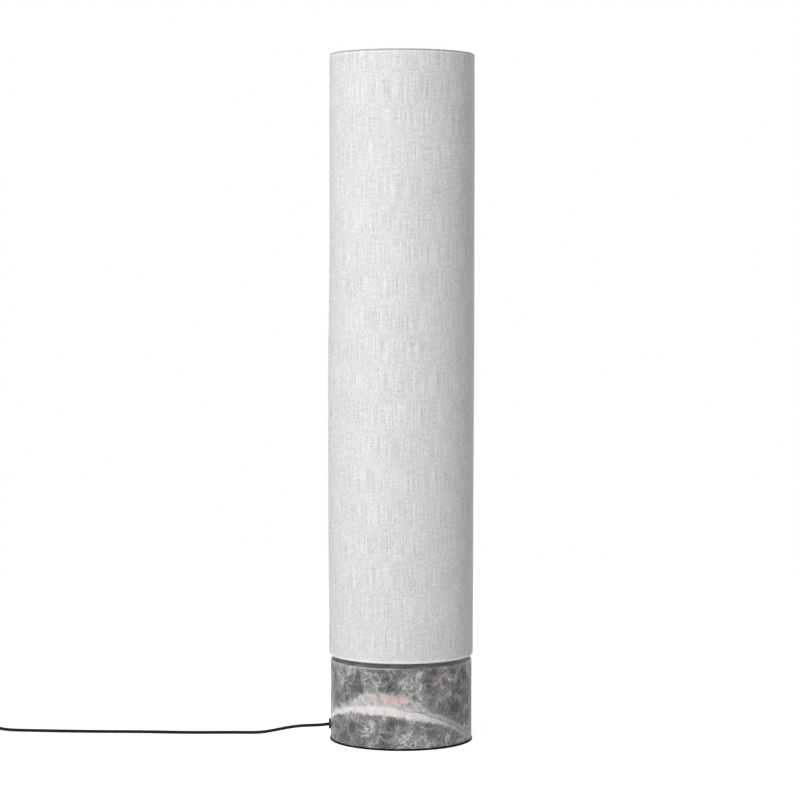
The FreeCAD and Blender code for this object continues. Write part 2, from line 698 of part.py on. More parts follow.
def relief(x, way):
    """A moulded strain relief with ribs, tapering away from the housing along X."""
    slim = cord_r + 0.7
    length = switch_relief_l
    inside = switch_wall + 1.5
    profile = [(0, -inside), (relief_neck_r, -inside), (relief_neck_r, 0), (relief_r, 0)]
    step = length / relief_ribs_n
    for i in range(relief_ribs_n):
        r = relief_r + (slim - relief_r) * (i + 0.6) / relief_ribs_n
        z = i * step
        groove_r = r - rib_depth
        profile += [(r, z + 0.6 * step), (groove_r, z + 0.6 * step), (groove_r, z + step)]
    profile[-1] = (profile[-1][0], length)
    profile.append((0, length))
    piece = turned(profile)
    piece.rotate(Vector(0, 0, 0), Vector(0, 1, 0), 90 * way)
    piece.translate(Vector(x, switch_y, switch_axis_z))
    return piece


def make_switch():
    x, y, wall = switch_x, switch_y, switch_wall
    base = stadium(switch_l, switch_w, 0, switch_split_z, x, y)
    base = base.makeChamfer(1.2, [e for e in base.Edges if e.BoundBox.ZMax < 0.01])
    base = base.cut(stadium(switch_l - 2 * wall, switch_w - 2 * wall, wall, switch_split_z, x, y))
    cover = stadium(switch_l, switch_w, switch_split_z, switch_top_z, x, y)
    cover = cover.makeFillet(4.0, [e for e in cover.Edges if e.BoundBox.ZMin > switch_top_z - 0.01])
    ceiling = switch_top_z - wall
    cavity = stadium(switch_l - 2 * wall, switch_w - 2 * wall, switch_split_z, ceiling, x, y)
    cavity = cavity.makeFillet(2.5, [e for e in cavity.Edges if e.BoundBox.ZMin > ceiling - 0.01])
    cover = cover.cut(cavity)
    screws = []
    boss_offset = switch_l / 2 - boss_from_end
    for sx in (x - boss_offset, x + boss_offset):
        base = base.fuse(cylinder(boss_r, wall / 2, switch_split_z, sx, y))
        cover = cover.fuse(cylinder(boss_r, switch_split_z, ceiling + wall / 2, sx, y))
        base = base.cut(cylinder(small_screw_r + fit, 0, switch_split_z, sx, y))
        base = base.cut(cylinder(1.9 * small_screw_r + fit, 0, wall, sx, y))
        cover = cover.cut(cylinder(small_screw_r + fit, switch_split_z, ceiling - 2, sx, y))
        screws.append(cylinder(small_screw_r, wall, ceiling - 3, sx, y).fuse(
            cylinder(1.9 * small_screw_r, 0.5, wall, sx, y)).removeSplitter())
    for way in (-1, 1):
        bore = Part.makeCylinder(relief_neck_r + fit, wall + 4,
                                 Vector(x + way * (switch_l / 2 - wall - 2), y, switch_axis_z),
                                 Vector(way, 0, 0))
        base = base.cut(bore)
        cover = cover.cut(bore)
    cover = cover.cut(cylinder(button_r + running, ceiling - 1, switch_top_z + 1, x, y))
    keep("switch_base", base.removeSplitter())
    keep("switch_cover", cover.removeSplitter())
    keep("switch_screws", *screws)
    keep("switch_reliefs", relief(x + switch_l / 2, 1), relief(x - switch_l / 2, -1))

    flange_top_z = ceiling - running
    flange_low_z = flange_top_z - 2.7
    crown_z = switch_top_z + button_proud
    pocket_z = crown_z - 2.5
    pocket_r = spring_r + 0.6
    rim_r, dish = button_r - 1.5, 0.5
    dish_r = (rim_r ** 2 + dish ** 2) / (2 * dish)
    dish_mid = crown_z - dish + dish_r - math.sqrt(dish_r ** 2 - (rim_r / 2) ** 2)
    button = turned([
        (pocket_r, flange_low_z), (button_flange_r, flange_low_z),
        (button_flange_r, flange_top_z), (button_r, flange_top_z), (button_r, crown_z - 1.5),
        (*round_corner(rim_r, crown_z - 1.5, 1.5, 45), rim_r, crown_z),
        (rim_r / 2, dish_mid, 0, crown_z - dish), (0, pocket_z),
        (pocket_r, pocket_z),
    ], x, y)
    keep("switch_button", button)
    core_top = wall + switch_core_h
    core = Part.makeBox(switch_core_l, switch_core_w, switch_core_h,
                        Vector(x - switch_core_l / 2, y - switch_core_w / 2, wall))
    core = core.fuse(cylinder(plunger_r, core_top - 1, pocket_z - button_travel - 1.0, x, y))
    keep("switch_core", core.removeSplitter())
    keep("switch_spring", tube(spring_r, spring_r - spring_wall, core_top, pocket_z, x, y))


def coil_nodes():
    """Points and headings along the coil, one each quarter turn: in on the lower layer, up in
    the half turn where the spiral reverses, and out on the upper layer. Clockwise from above."""
    rate = coil_pitch / (2 * math.pi)
    quarters_each = round(4 * coil_turns_each)
    turn = quarters_each * math.pi / 2
    inner_r = coil_outer_r - rate * turn

    def state(s):
        """Radius, height and their change per radian, s radians along the coil."""
        if s <= turn:
            return coil_outer_r - rate * s, coil_z, -rate, 0.0
        if s >= turn + math.pi:
            return inner_r + rate * (s - turn - math.pi), coil_z + coil_layer, rate, 0.0
        u = s - turn
        share = u / math.pi
        r = inner_r - rate * u + rate * u * u / math.pi
        z = coil_z + coil_layer * (3 * share ** 2 - 2 * share ** 3)
        return r, z, rate * (2 * share - 1), coil_layer * 6 * share * (1 - share) / math.pi

    nodes = []
    for i in range(2 * quarters_each + 3):
        s = i * math.pi / 2
        r, z, dr, dz = state(s)
        a = math.pi / 2 - s
        point = Vector(coil_x + r * math.cos(a), coil_y + r * math.sin(a), z)
        heading = Vector(dr * math.cos(a) + r * math.sin(a), dr * math.sin(a) - r * math.cos(a), dz)
        heading.normalize()
        nodes.append((point, heading))
    return nodes


def least_self_gap(path, diameter, step=1.5):
    """The least air between a wound tube and itself, on points along its middle line."""
    points = path.discretize(Distance=step)
    skip = int(2.5 * diameter / step)
    least = min((p - q).Length for i, p in enumerate(points) for q in points[i + skip:])
    return least - diameter


def make_coil():
    nodes = coil_nodes()
    start = Vector(*coil_start)
    face = Vector(*plug_face)
    west = Vector(-1, 0, 0)
    before_plug = face - west * (2 * cord_r)
    last = nodes[-1][0]
    drift = Vector(-1, -0.05, -0.12)
    drift.normalize()
    middle = last + (before_plug - last) * 0.5
    nodes += [(middle, drift), (before_plug, west)]
    nodes[0] = (nodes[0][0], Vector(1, 0, 0))
    edges = [Part.LineSegment(start, nodes[0][0]).toShape()]
    for (p0, t0), (p1, t1) in zip(nodes, nodes[1:]):
        edges += biarc(p0, t0, p1, t1)
    edges.append(Part.LineSegment(before_plug, face).toShape())
    path = Part.Wire(Part.__sortEdges__(edges))
    print(f"cord_coil: least gap to itself {least_self_gap(path, 2 * cord_r):.2f} mm")
    keep("cord_coil", swept(path, cord_r, "cord_coil"))

    # A band round all the turns, at the coil's right-hand side
    inner_r = coil_outer_r - coil_pitch * coil_turns_each
    low_x = coil_x + inner_r - coil_pitch / 8 - cord_r - 4 * running
    high_x = coil_x + coil_outer_r + cord_r + running
    low_z, high_z = coil_lift - 2 * fit, coil_z + coil_layer + cord_r + 2 * fit
    band = Part.makeBox(high_x - low_x + 2 * tie_t, tie_w, high_z - low_z + 2 * tie_t,
                        Vector(low_x - tie_t, coil_y - tie_w / 2, low_z - tie_t))
    along = [e for e in band.Edges if abs(e.tangentAt(e.FirstParameter).y) > 0.9]
    band = band.makeFillet(1.5, along)
    room = Part.makeBox(high_x - low_x, tie_w, high_z - low_z, Vector(low_x, coil_y - tie_w / 2, low_z))
    along = [e for e in room.Edges if abs(e.tangentAt(e.FirstParameter).y) > 0.9]
    keep("coil_tie", band.cut(room.makeFillet(0.7, along)))


def flat_hexagon(width, height, x):
    """The plug body's section: flat above and below, pointed at the sides."""
    w, h = width / 2, height / 2
    corners = [(-w, 0), (-w + h * 0.8, h), (w - h * 0.8, h), (w, 0), (w - h * 0.8, -h),
               (-w + h * 0.8, -h), (-w, 0)]
    return Part.makePolygon([Vector(x, plug_face[1] + a, plug_face[2] + b) for a, b in corners])


def make_plug():
    x0 = plug_face[0] - plug_relief_l
    sections = [flat_hexagon(plug_neck_w, plug_neck_h, x0),
                flat_hexagon((plug_neck_w + plug_w) / 2, (plug_neck_h + plug_h) / 2, x0 - plug_l * 0.3),
                flat_hexagon(plug_w - 3, plug_h, x0 - plug_l * 0.62),
                flat_hexagon(plug_w, plug_h, x0 - plug_l)]
    body = Part.makeLoft(sections, True, True)
    slim, thick = cord_r + 0.6, relief_r - 0.2
    profile = [(0, -1), (thick, -1)]
    step = plug_relief_l / relief_ribs_n
    for i in range(relief_ribs_n):
        r = thick + (slim - thick) * (i + 0.6) / relief_ribs_n
        groove_r = r - rib_depth
        profile += [(r, (i + 0.6) * step), (groove_r, (i + 0.6) * step), (groove_r, (i + 1) * step)]
    profile[-1] = (profile[-1][0], plug_relief_l)
    profile.append((0, plug_relief_l))
    neck = turned(profile)
    neck.rotate(Vector(0, 0, 0), Vector(0, 1, 0), 90)
    neck.translate(Vector(x0, plug_face[1], plug_face[2]))
    keep("plug_body", body.fuse(neck).removeSplitter())
    pins = []
    for y in (-pin_spacing / 2, pin_spacing / 2):
        base = Vector(x0 - plug_l, plug_face[1] + y, plug_face[2])
        pin = Part.makeCylinder(pin_r, pin_l, base, Vector(-1, 0, 0))
        tip = [e for e in pin.Edges if e.BoundBox.XMax < base.x - pin_l + 0.01]
        pins.append(pin.makeFillet(1.0, tip))
    keep("plug_pins", *pins)


# ---------------------------------------------------------------- all of it
make_foot()
make_gland()
make_wiring()
make_stem()
make_holders()
make_gallery()
make_shade()
make_cord()
make_switch()
make_coil()
make_plug()

os.makedirs("parts", exist_ok=True)
for name, shape in PARTS.items():
    assert shape.isValid(), name
    shape.exportStep(f"parts/{name}.step")
print(len(PARTS), "sub-parts, height", shade_top, "mm")
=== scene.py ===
# %% [markdown]
# # A column floor lamp
# The lamp is a marble drum, a stem with three bulbs, and a linen sleeve over a metre tall that
# hangs on a ring at its top. A black cord leaves the foot and runs along the floor to a foot
# switch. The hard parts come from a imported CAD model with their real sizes. Blender adds what a
# CAD model can't hold: the cloth, the lie of the cord, and the finish of every surface.

# %% Load the frame
import json
import math

import bpy
import numpy as np
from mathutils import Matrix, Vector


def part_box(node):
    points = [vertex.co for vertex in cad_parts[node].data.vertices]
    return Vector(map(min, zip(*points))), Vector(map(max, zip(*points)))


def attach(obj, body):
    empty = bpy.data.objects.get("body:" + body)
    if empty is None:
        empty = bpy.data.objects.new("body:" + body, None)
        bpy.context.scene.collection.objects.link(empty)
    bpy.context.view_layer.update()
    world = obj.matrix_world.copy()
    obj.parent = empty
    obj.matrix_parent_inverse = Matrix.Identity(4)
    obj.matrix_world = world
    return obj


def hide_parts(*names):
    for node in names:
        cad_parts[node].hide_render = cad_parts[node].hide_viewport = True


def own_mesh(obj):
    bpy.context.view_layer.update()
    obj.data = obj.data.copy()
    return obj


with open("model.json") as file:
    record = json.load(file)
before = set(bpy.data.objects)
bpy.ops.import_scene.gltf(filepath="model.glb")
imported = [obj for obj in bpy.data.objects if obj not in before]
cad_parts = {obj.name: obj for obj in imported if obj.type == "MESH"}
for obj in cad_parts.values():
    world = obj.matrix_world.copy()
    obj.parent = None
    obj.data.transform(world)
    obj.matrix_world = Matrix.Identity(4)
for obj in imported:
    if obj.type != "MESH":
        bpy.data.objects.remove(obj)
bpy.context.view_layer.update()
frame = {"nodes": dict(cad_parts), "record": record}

nodes = frame["nodes"]

# %% [markdown]
# ## The camera
# A long lens far from the lamp keeps its two upright edges almost parallel, as in a catalogue
# picture. The lens, the height and the tilt were worked out from the curve of the top rim and
# of the foot, so they are set as numbers here. The picture is a square of 800 pixels, and it
# leans by a fifteenth of a degree.

# %% Camera
SENSOR = 36.0
PICTURE_PX = 800
FOCAL_PX = 2558.5
TILT, LEAN = 87.003, -0.07
CAMERA_AT = (-0.0030, -4.481, 0.8318)
camera_data = bpy.data.cameras.new("catalogue_lens")
camera_data.sensor_width = SENSOR
camera_data.lens = FOCAL_PX * SENSOR / PICTURE_PX
camera = bpy.data.objects.new("catalogue_camera", camera_data)
camera.location = CAMERA_AT
camera.rotation_euler = (math.radians(TILT), math.radians(LEAN), 0.0)
bpy.context.scene.collection.objects.link(camera)
bpy.context.scene.camera = camera
bpy.context.scene.view_settings.view_transform = "Standard"
print(f"lens {camera_data.lens:.1f} mm, {-camera.location.y:.2f} m in front of the lamp")

# %% [markdown]
# ## The cord
# The real cord is about two metres of round black mains cord, 5.5 mm thick. It leaves the stone
# near the floor, sinks to it, wanders along it to a foot switch, and the rest is wound into a neat
# coil with its plug. A smooth spline that a few listed points pull towards themselves lies the way
# a springy cord does. Blender works that line out, and a round tube is then carried along it, so
# that one radius sets how thick the cord is from end to end.

# %% The line of a cord
CORD_R = 0.00275
LINE_STEPS = 8


def line_of(route):
    """The spline of order three that a route's points pull, as rows of x, y and z. Its ends are
    the route's ends. The order is set after the points, because before that it stays at two."""
    curve = bpy.data.curves.new("cord_line", "CURVE")
    curve.dimensions = "3D"
    curve.resolution_u = LINE_STEPS
    spline = curve.splines.new("NURBS")
    spline.points.add(len(route) - 1)
    spline.points.foreach_set("co", np.c_[route, np.ones(len(route))].ravel())
    spline.order_u = 3
    spline.use_endpoint_u = True
    guide = bpy.data.objects.new("cord_line", curve)
    mesh = bpy.data.meshes.new_from_object(guide)
    line = np.empty(3 * len(mesh.vertices))
    mesh.vertices.foreach_get("co", line)
    bpy.data.objects.remove(guide)
    bpy.data.meshes.remove(mesh)
    bpy.data.curves.remove(curve)
    return line.reshape(-1, 3)


# %% Two helpers for meshes
def grid_faces(rows, columns):
    """Four corners of each square of a grid whose points are stored row after row."""
    first = (np.arange(rows - 1)[:, None] * columns + np.arange(columns - 1)[None, :]).ravel()
    return np.c_[first, first + columns, first + columns + 1, first + 1]


def mesh_piece(name, points, faces, smooth=True):
    """A mesh object from rows of points and a list of faces, with its place in the mesh."""
    mesh = bpy.data.meshes.new(name)
    mesh.from_pydata(np.asarray(points).tolist(), [], faces)
    mesh.polygons.foreach_set("use_smooth", np.full(len(mesh.polygons), smooth))
    mesh.update()
    piece = bpy.data.objects.new(name, mesh)
    bpy.context.scene.collection.objects.link(piece)
    return piece


# %% A tube along a line
TUBE_SIDES = 14


def tube_along(name, line, radius=CORD_R):
    """A round tube. Each point of the line has a heading, a level side square to it, and a third
    direction square to both. The ring there is line + radius * (cos a * side + sin a * third),
    for even angles a. The two ends are closed by their rings."""
    heading = np.gradient(line, axis=0)
    heading /= np.linalg.norm(heading, axis=1)[:, None]
    side = np.cross(heading, (0.0, 0.0, 1.0))
    side /= np.linalg.norm(side, axis=1)[:, None]
    third = np.cross(side, heading)
    a = np.linspace(0, 2 * math.pi, TUBE_SIDES, endpoint=False)[None, :, None]
    rings = line[:, None] + radius * (np.cos(a) * side[:, None] + np.sin(a) * third[:, None])
    strips = grid_faces(len(line), TUBE_SIDES + 1)
    rows, columns = np.divmod(strips, TUBE_SIDES + 1)
    faces = (rows * TUBE_SIDES + columns % TUBE_SIDES).tolist()
    first = list(range(TUBE_SIDES))
    last = [(len(line) - 1) * TUBE_SIDES + i for i in reversed(first)]
    piece = mesh_piece(name, rings.reshape(-1, 3), faces + [first, last])
    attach(piece, "lamp")
    return piece


# %% From the foot to the switch
GLAND_Z = 0.0246
SWITCH_Z = 0.006
mains_route = [
    (-0.1275, 0.0, GLAND_Z), (-0.139, 0.0, 0.0228), (-0.157, 0.002, 0.0218),
    (-0.179, 0.0072, 0.0199), (-0.199, 0.0135, 0.0161), (-0.217, 0.0195, 0.0114),
    (-0.234, 0.0255, 0.0070), (-0.251, 0.0305, 0.0039), (-0.270, 0.0346, CORD_R),
    (-0.306, 0.0362, CORD_R), (-0.349, 0.0342, CORD_R), (-0.391, 0.0346, CORD_R),
    (-0.434, 0.0392, CORD_R), (-0.478, 0.0416, CORD_R), (-0.525, 0.0424, CORD_R),
    (-0.572, 0.0442, CORD_R), (-0.616, 0.0476, CORD_R), (-0.654, 0.0515, CORD_R),
    (-0.684, 0.0542, CORD_R), (-0.706, 0.0572, 0.0032), (-0.722, 0.060, SWITCH_Z),
    (-0.735, 0.060, SWITCH_Z),
]
lead_line = line_of(mains_route)
lead = tube_along("lead_to_switch", lead_line)
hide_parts("mains_cord")
print(len(mains_route), "points pull a line of", len(lead_line), "points to the switch")

# %% [markdown]
# The coil is a flat spiral in two layers. Seen from above it goes clockwise: inwards below, up
# by one layer in the half turn where it is narrowest, and outwards again above. Its points are
# a formula, because a coil is regular where the rest of the cord isn't. A spline of order three
# cuts inside a ring of points by a known share, so the radii are made larger by that share.

# %% The coil and the plug's end
COIL_AT = (-0.790, -0.052)
COIL_R, COIL_PITCH, COIL_LAYER, COIL_Z = 0.040, 0.0061, 0.0060, 0.00375
TURNS_EACH = 2.5
STEPS_PER_TURN = 16


def coil_points():
    """Angle s grows by a sixteenth turn a point. The radius falls evenly for 2.5 turns, turns
    round smoothly over half a turn while the height rises by one layer, and grows evenly."""
    rate = COIL_PITCH / (2 * math.pi)
    turn = TURNS_EACH * 2 * math.pi
    step = 2 * math.pi / STEPS_PER_TURN
    inner = COIL_R - rate * turn
    s = np.arange(0.0, 2 * turn + math.pi + step / 2, step)
    u = np.clip(s - turn, 0.0, math.pi)
    share = u / math.pi
    radius = inner + rate * (np.maximum(turn - s, 0) + np.maximum(s - turn - math.pi, 0)
                             - u + u * share)
    radius /= (3 + math.cos(step)) / 4
    angle = math.pi / 2 - s
    height = COIL_Z + COIL_LAYER * share ** 2 * (3 - 2 * share)
    return np.c_[COIL_AT[0] + radius * np.cos(angle), COIL_AT[1] + radius * np.sin(angle), height]


tail_route = [
    (-0.859, 0.060, SWITCH_Z), (-0.873, 0.060, SWITCH_Z), (-0.889, 0.054, 0.0046),
    (-0.8995, 0.040, 0.0032), (-0.902, 0.023, CORD_R), (-0.8965, 0.0065, CORD_R),
    (-0.8825, -0.0065, CORD_R), (-0.862, -0.0135, 0.0030), (-0.838, -0.015, 0.0034),
    (-0.816, -0.012, COIL_Z),
]
plug_route = [(-0.807, -0.093, 0.0083), (-0.824, -0.094, 0.00685), (-0.8295, -0.094, 0.00685)]
coiled_line = line_of(np.vstack([tail_route, coil_points(), plug_route]))
coiled = tube_along("coiled_cord", coiled_line)
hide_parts("cord_tail", "cord_coil")
print(len(coil_points()), "points in the coil")

# %% [markdown]
# ## The linen sleeve
# The shade is one strip of linen, wrapped round, glued to a white lining, and lapped at the
# back. At the top and the bottom it is folded in over a steel ring, so its rim is a soft roll
# and not a cut edge. It is made as that strip: one parameter goes round it and once over the
# lap, the other goes from the inner fold at the top, over the ring, down the wall, and in over
# the lower ring. Sewn and glued by hand, such a sleeve is never quite straight, so the wall
# swells by up to three millimetres on one side.

# %% The strip's section
LINEN_T = 0.0009
HEM_FOLD = 0.012
HEM_ROOM = 0.0003
HEM_ROUND = 0.003
HEM_BEND = HEM_ROUND - LINEN_T / 2
shade_low, shade_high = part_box("shade_cover")
ring_low, ring_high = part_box("bottom_ring")
WIRE_R = (ring_high[2] - ring_low[2]) / 2
WALL_R = shade_high[0] - LINEN_T / 2
FOLD_R = ring_high[0] - 2 * WIRE_R - HEM_ROOM - LINEN_T / 2
TOP_Z, LOW_Z = shade_high[2] - LINEN_T / 2, shade_low[2] + LINEN_T / 2


def hem_line(steps=6):
    """The fold at the top, from its inner edge to the start of the wall: up, round a quarter
    circle, a little flat, and round another quarter circle. Height is below the rim."""
    up = np.c_[np.full(steps, FOLD_R), np.linspace(HEM_FOLD, HEM_BEND, steps, endpoint=False)]
    bend = np.linspace(0, math.pi / 2, steps)
    inner = np.c_[FOLD_R + HEM_BEND * (1 - np.cos(bend)), HEM_BEND * (1 - np.sin(bend))]
    outer = np.c_[WALL_R - HEM_BEND * (1 - np.sin(bend)), HEM_BEND * (1 - np.cos(bend))]
    return np.vstack([up, inner, outer])


def strip_section(wall_steps=96):
    """Radius and height along the strip, its length so far, and the side it shows outwards."""
    hem = hem_line()
    wall_z = np.linspace(TOP_Z - HEM_BEND, LOW_Z + HEM_BEND, wall_steps)[1:-1]
    radius = np.r_[hem[:, 0], np.full(len(wall_z), WALL_R), hem[::-1, 0]]
    height = np.r_[TOP_Z - hem[:, 1], wall_z, LOW_Z + hem[::-1, 1]]
    step = np.hypot(np.diff(radius), np.diff(height))
    along = np.r_[0, np.cumsum(step)]
    tangent = np.gradient(np.c_[radius, height], along, axis=0)
    tangent /= np.linalg.norm(tangent, axis=1)[:, None]
    return radius, height, along, np.c_[-tangent[:, 1], tangent[:, 0]]


radius, height, along, outward = strip_section()
print(f"the strip is {along[-1]:.3f} m long with its folds")

# %% [markdown]
# The wall's hand-made shape is added as a small offset outwards. It swells most on the side
# where the cord leaves, a little below half height, and on the other side only towards the top.
# Three slow waves keep the surface from looking machined. The offset fades out over the folds,
# because there the ring holds the cloth.

# %% The hand-made offset
LEFT_SWELL, RIGHT_SWELL, RIGHT_RIM = 0.0025, 0.0010, 0.0006
LEFT_AT_FOOT = 0.25
LEFT_GROWS, LEFT_ENDS = (0.12, 0.50), (0.62, 0.88)
RIGHT_GROWS, RIM_DRAWS_IN = (0.25, 0.78), (1.02, 1.19)
SIDE_POWER = 1.5
RIPPLE = 0.00020
RIPPLE_WAVES = ((3, 5, 0.0), (5, -9, 1.1), (2, 17, 2.3))


def smooth_step(x, low, high):
    """0 below low and 1 above high, with a soft start and end."""
    t = np.clip((x - low) / (high - low), 0.0, 1.0)
    return t * t * (3 - 2 * t)


def wall_offset(turn, z):
    """On the left a swell that starts soft at the lower rim and is gone near the top, on the
    right a rise with height that the top ring draws in again. Both are shared out round the
    sleeve by the cosine of the angle. Each ripple is the sine of so many times the turn, plus so
    many times the height, plus a phase."""
    grown = LEFT_AT_FOOT + (1 - LEFT_AT_FOOT) * smooth_step(z, *LEFT_GROWS)
    left = LEFT_SWELL * grown * (1 - smooth_step(z, *LEFT_ENDS))
    right = RIGHT_SWELL * smooth_step(z, *RIGHT_GROWS) - RIGHT_RIM * smooth_step(z, *RIM_DRAWS_IN)
    to_right = (1 + np.cos(turn)) / 2
    swell = left * (1 - to_right) ** SIDE_POWER + right * to_right ** SIDE_POWER
    ripple = sum(np.sin(turns * turn + climbs * z + phase) for turns, climbs, phase in RIPPLE_WAVES)
    return swell + RIPPLE * (1 + ripple / len(RIPPLE_WAVES))


# %% Build the sleeve
LAP, LAP_RISE, LAP_LINES = 0.012, 0.005, 9
LAP_LIFT = 1.1 * LINEN_T
ARMS = 3
ARM_SLOT, ARM_CLEAR = 0.0026, 0.01
STEP_DEGREES = 2.0
HEM_ROWS = len(hem_line())


def strip_turns():
    """Angles round the strip from the back, every two degrees, with an extra line each side of
    the slots in the top fold, and finer ones over the lap."""
    whole = 2 * math.pi + LAP / WALL_R
    even = np.radians(np.arange(0, 360, STEP_DEGREES))
    arms = np.radians([(360 * i / ARMS - 90) % 360 for i in range(ARMS)])
    slots = np.concatenate([arms - ARM_SLOT / FOLD_R, arms + ARM_SLOT / FOLD_R])
    lap = whole - np.linspace(LAP + LAP_RISE, 0, LAP_LINES) / WALL_R
    even = even[np.abs(even[:, None] - arms[None, :]).min(axis=1) > ARM_CLEAR]
    return np.unique(np.round(np.r_[even[even < lap[0]], slots, lap], 6)), arms


turns, arms = strip_turns()
T, R = np.meshgrid(turns, radius)
Z = np.repeat(height[:, None], len(turns), axis=1)
on_wall = smooth_step(R, FOLD_R, WALL_R - HEM_BEND)
lift = LAP_LIFT * smooth_step(turns, turns[-1] - (LAP + LAP_RISE) / WALL_R,
                              turns[-1] - LAP / WALL_R)
A = T + math.pi / 2
R = R + on_wall * wall_offset(A, Z) + lift[None, :] * outward[:, :1]
Z = Z + lift[None, :] * outward[:, 1:]
points = np.c_[(R * np.cos(A)).ravel(), (R * np.sin(A)).ravel(), Z.ravel()]
faces = grid_faces(len(radius), len(turns))
column = np.arange(len(faces)) % (len(turns) - 1)
row = np.arange(len(faces)) // (len(turns) - 1)
middle = (turns[column] + turns[column + 1]) / 2
at_arm = np.abs(middle[:, None] - arms[None, :]).min(axis=1) < ARM_SLOT / FOLD_R
faces = faces[~(at_arm & (row < HEM_ROWS // 2))]
sleeve = mesh_piece("linen_sleeve", points, faces.tolist())
print(len(faces), "squares in the sleeve")

# %% [markdown]
# The weave has to follow the cloth, so each corner keeps its place on the flat strip, in
# metres, as a UV map. The strip gets its real thickness from a Solidify modifier.

# %% The strip's own map and thickness
flat = np.c_[np.repeat(turns[None, :] * WALL_R, len(radius), axis=0).ravel(),
             np.repeat(along[:, None], len(turns), axis=1).ravel()]
corner_point = np.empty(len(sleeve.data.loops), dtype=np.int32)
sleeve.data.loops.foreach_get("vertex_index", corner_point)
cloth_map = sleeve.data.uv_layers.new(name="cloth")
cloth_map.uv.foreach_set("vector", flat[corner_point].astype(np.float32).ravel())
thickness = sleeve.modifiers.new("linen thickness", "SOLIDIFY")
thickness.thickness = LINEN_T
thickness.offset = 0.0
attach(sleeve, "shade")
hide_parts("shade_cover")
print(f"cut size {turns[-1] * WALL_R:.3f} by {along[-1]:.3f} m")

# %% [markdown]
# ## Helpers for finishes
# Every finish is a small network of shader nodes. A few helpers keep those networks short: `put`
# adds a node and sets or links its inputs, and the others are the sums, soft steps, clouds and
# colour mixes that every network needs. Colours are written as they look on a screen, from 0 to
# 255, and changed to the linear numbers that a shader takes.

# %% Node helpers
def put(tree, kind, settings=None, **inputs):
    """Adds a node. An input is named as on the node, with _ for a space; it is linked when the
    value is a socket and set when it is a number."""
    node = tree.nodes.new(kind)
    for name, value in (settings or {}).items():
        setattr(node, name, value)
    for name, value in inputs.items():
        connect(tree, value, node.inputs[name.replace("_", " ")])
    return node


def connect(tree, value, socket):
    """Links another node's socket to this one, or sets this one to a plain value."""
    if isinstance(value, bpy.types.NodeSocket):
        tree.links.new(value, socket)
    else:
        socket.default_value = value


def in_order(tree, kind, settings, *values):
    """Adds a node, connects values to its inputs in their order, and gives its outputs."""
    node = put(tree, kind, settings)
    for value, socket in zip(values, node.inputs):
        connect(tree, value, socket)
    return node.outputs


def maths(tree, what, *values):
    """One sum on numbers, such as ADD or MULTIPLY_ADD."""
    return in_order(tree, "ShaderNodeMath", {"operation": what}, *values)[0]


def times(tree, first, second):
    """Two numbers multiplied."""
    return maths(tree, "MULTIPLY", first, second)


def vectors(tree, what, *values):
    """One sum on places or directions. The distance and the length are single numbers."""
    outputs = in_order(tree, "ShaderNodeVectorMath", {"operation": what}, *values)
    return outputs["Value" if what in ("DISTANCE", "LENGTH") else "Vector"]


def axes(tree, place):
    """The three numbers of a place, named X, Y and Z."""
    return put(tree, "ShaderNodeSeparateXYZ", Vector=place).outputs


def stretch(tree, place, factors):
    """A place multiplied by a factor along each axis."""
    return vectors(tree, "MULTIPLY", place, factors)


def fade(tree, value, low, high, start=0.0, end=1.0):
    """Goes softly from start to end while the value goes from low to high."""
    node = put(tree, "ShaderNodeMapRange", {"interpolation_type": "SMOOTHSTEP"}, Value=value,
               From_Min=low, From_Max=high, To_Min=start, To_Max=end)
    return node.outputs[0]


def cloudy(tree, place, scale, detail=2.0, roughness=0.5):
    """A soft random value from 0 to 1, around one half, with so many clouds to the metre."""
    node = put(tree, "ShaderNodeTexNoise", Vector=place, Scale=scale, Detail=detail,
               Roughness=roughness)
    return node.outputs[0]


def wandering(tree, noise, reach, middle):
    """A value that a noise from 0 to 1 pushes up and down from its middle by half a reach."""
    return maths(tree, "MULTIPLY_ADD", maths(tree, "SUBTRACT", noise, 0.5), reach, middle)


def gap(tree, first, second):
    """How far apart two values are."""
    return maths(tree, "ABSOLUTE", maths(tree, "SUBTRACT", first, second))


def band(tree, value, start, edges):
    """1 between the two middle edges and 0 outside the outer two, all counted from a start."""
    out_low, in_low, in_high, out_high = (start + edge for edge in edges)
    return times(tree, fade(tree, value, out_high, in_high),
                 fade(tree, value, out_low, in_low))


def mix(tree, share, first, second, how="MIX"):
    """Two colours mixed by a share from 0 to 1."""
    node = put(tree, "ShaderNodeMix", {"data_type": "RGBA", "blend_type": how})
    for value, place in ((share, 0), (first, 6), (second, 7)):
        connect(tree, value, node.inputs[place])
    return node.outputs[2]


def paint(tree, under, over, mask, strength):
    """A colour laid over another where a mask says, and there with this strength."""
    return mix(tree, times(tree, mask, strength), under, over)


def screen(r, g, b):
    """A colour as seen on a screen, 0 to 255, as the linear numbers of a shader."""
    def linear(c):
        c /= 255
        return c / 12.92 if c <= 0.04045 else ((c + 0.055) / 1.055) ** 2.4
    return (linear(r), linear(g), linear(b), 1.0)


print("a mid grey of 128 on screen is", round(screen(128, 128, 128)[0], 3), "in a shader")

# %% [markdown]
# Some effects come back in many finishes, so each is made once as a node group. `Fine grain` is
# the small unevenness that moulding, powder coat or casting leaves. `Uneven tone` makes a colour
# wander a little lighter and darker. `Settled dust` is a pale film on faces that look upwards.

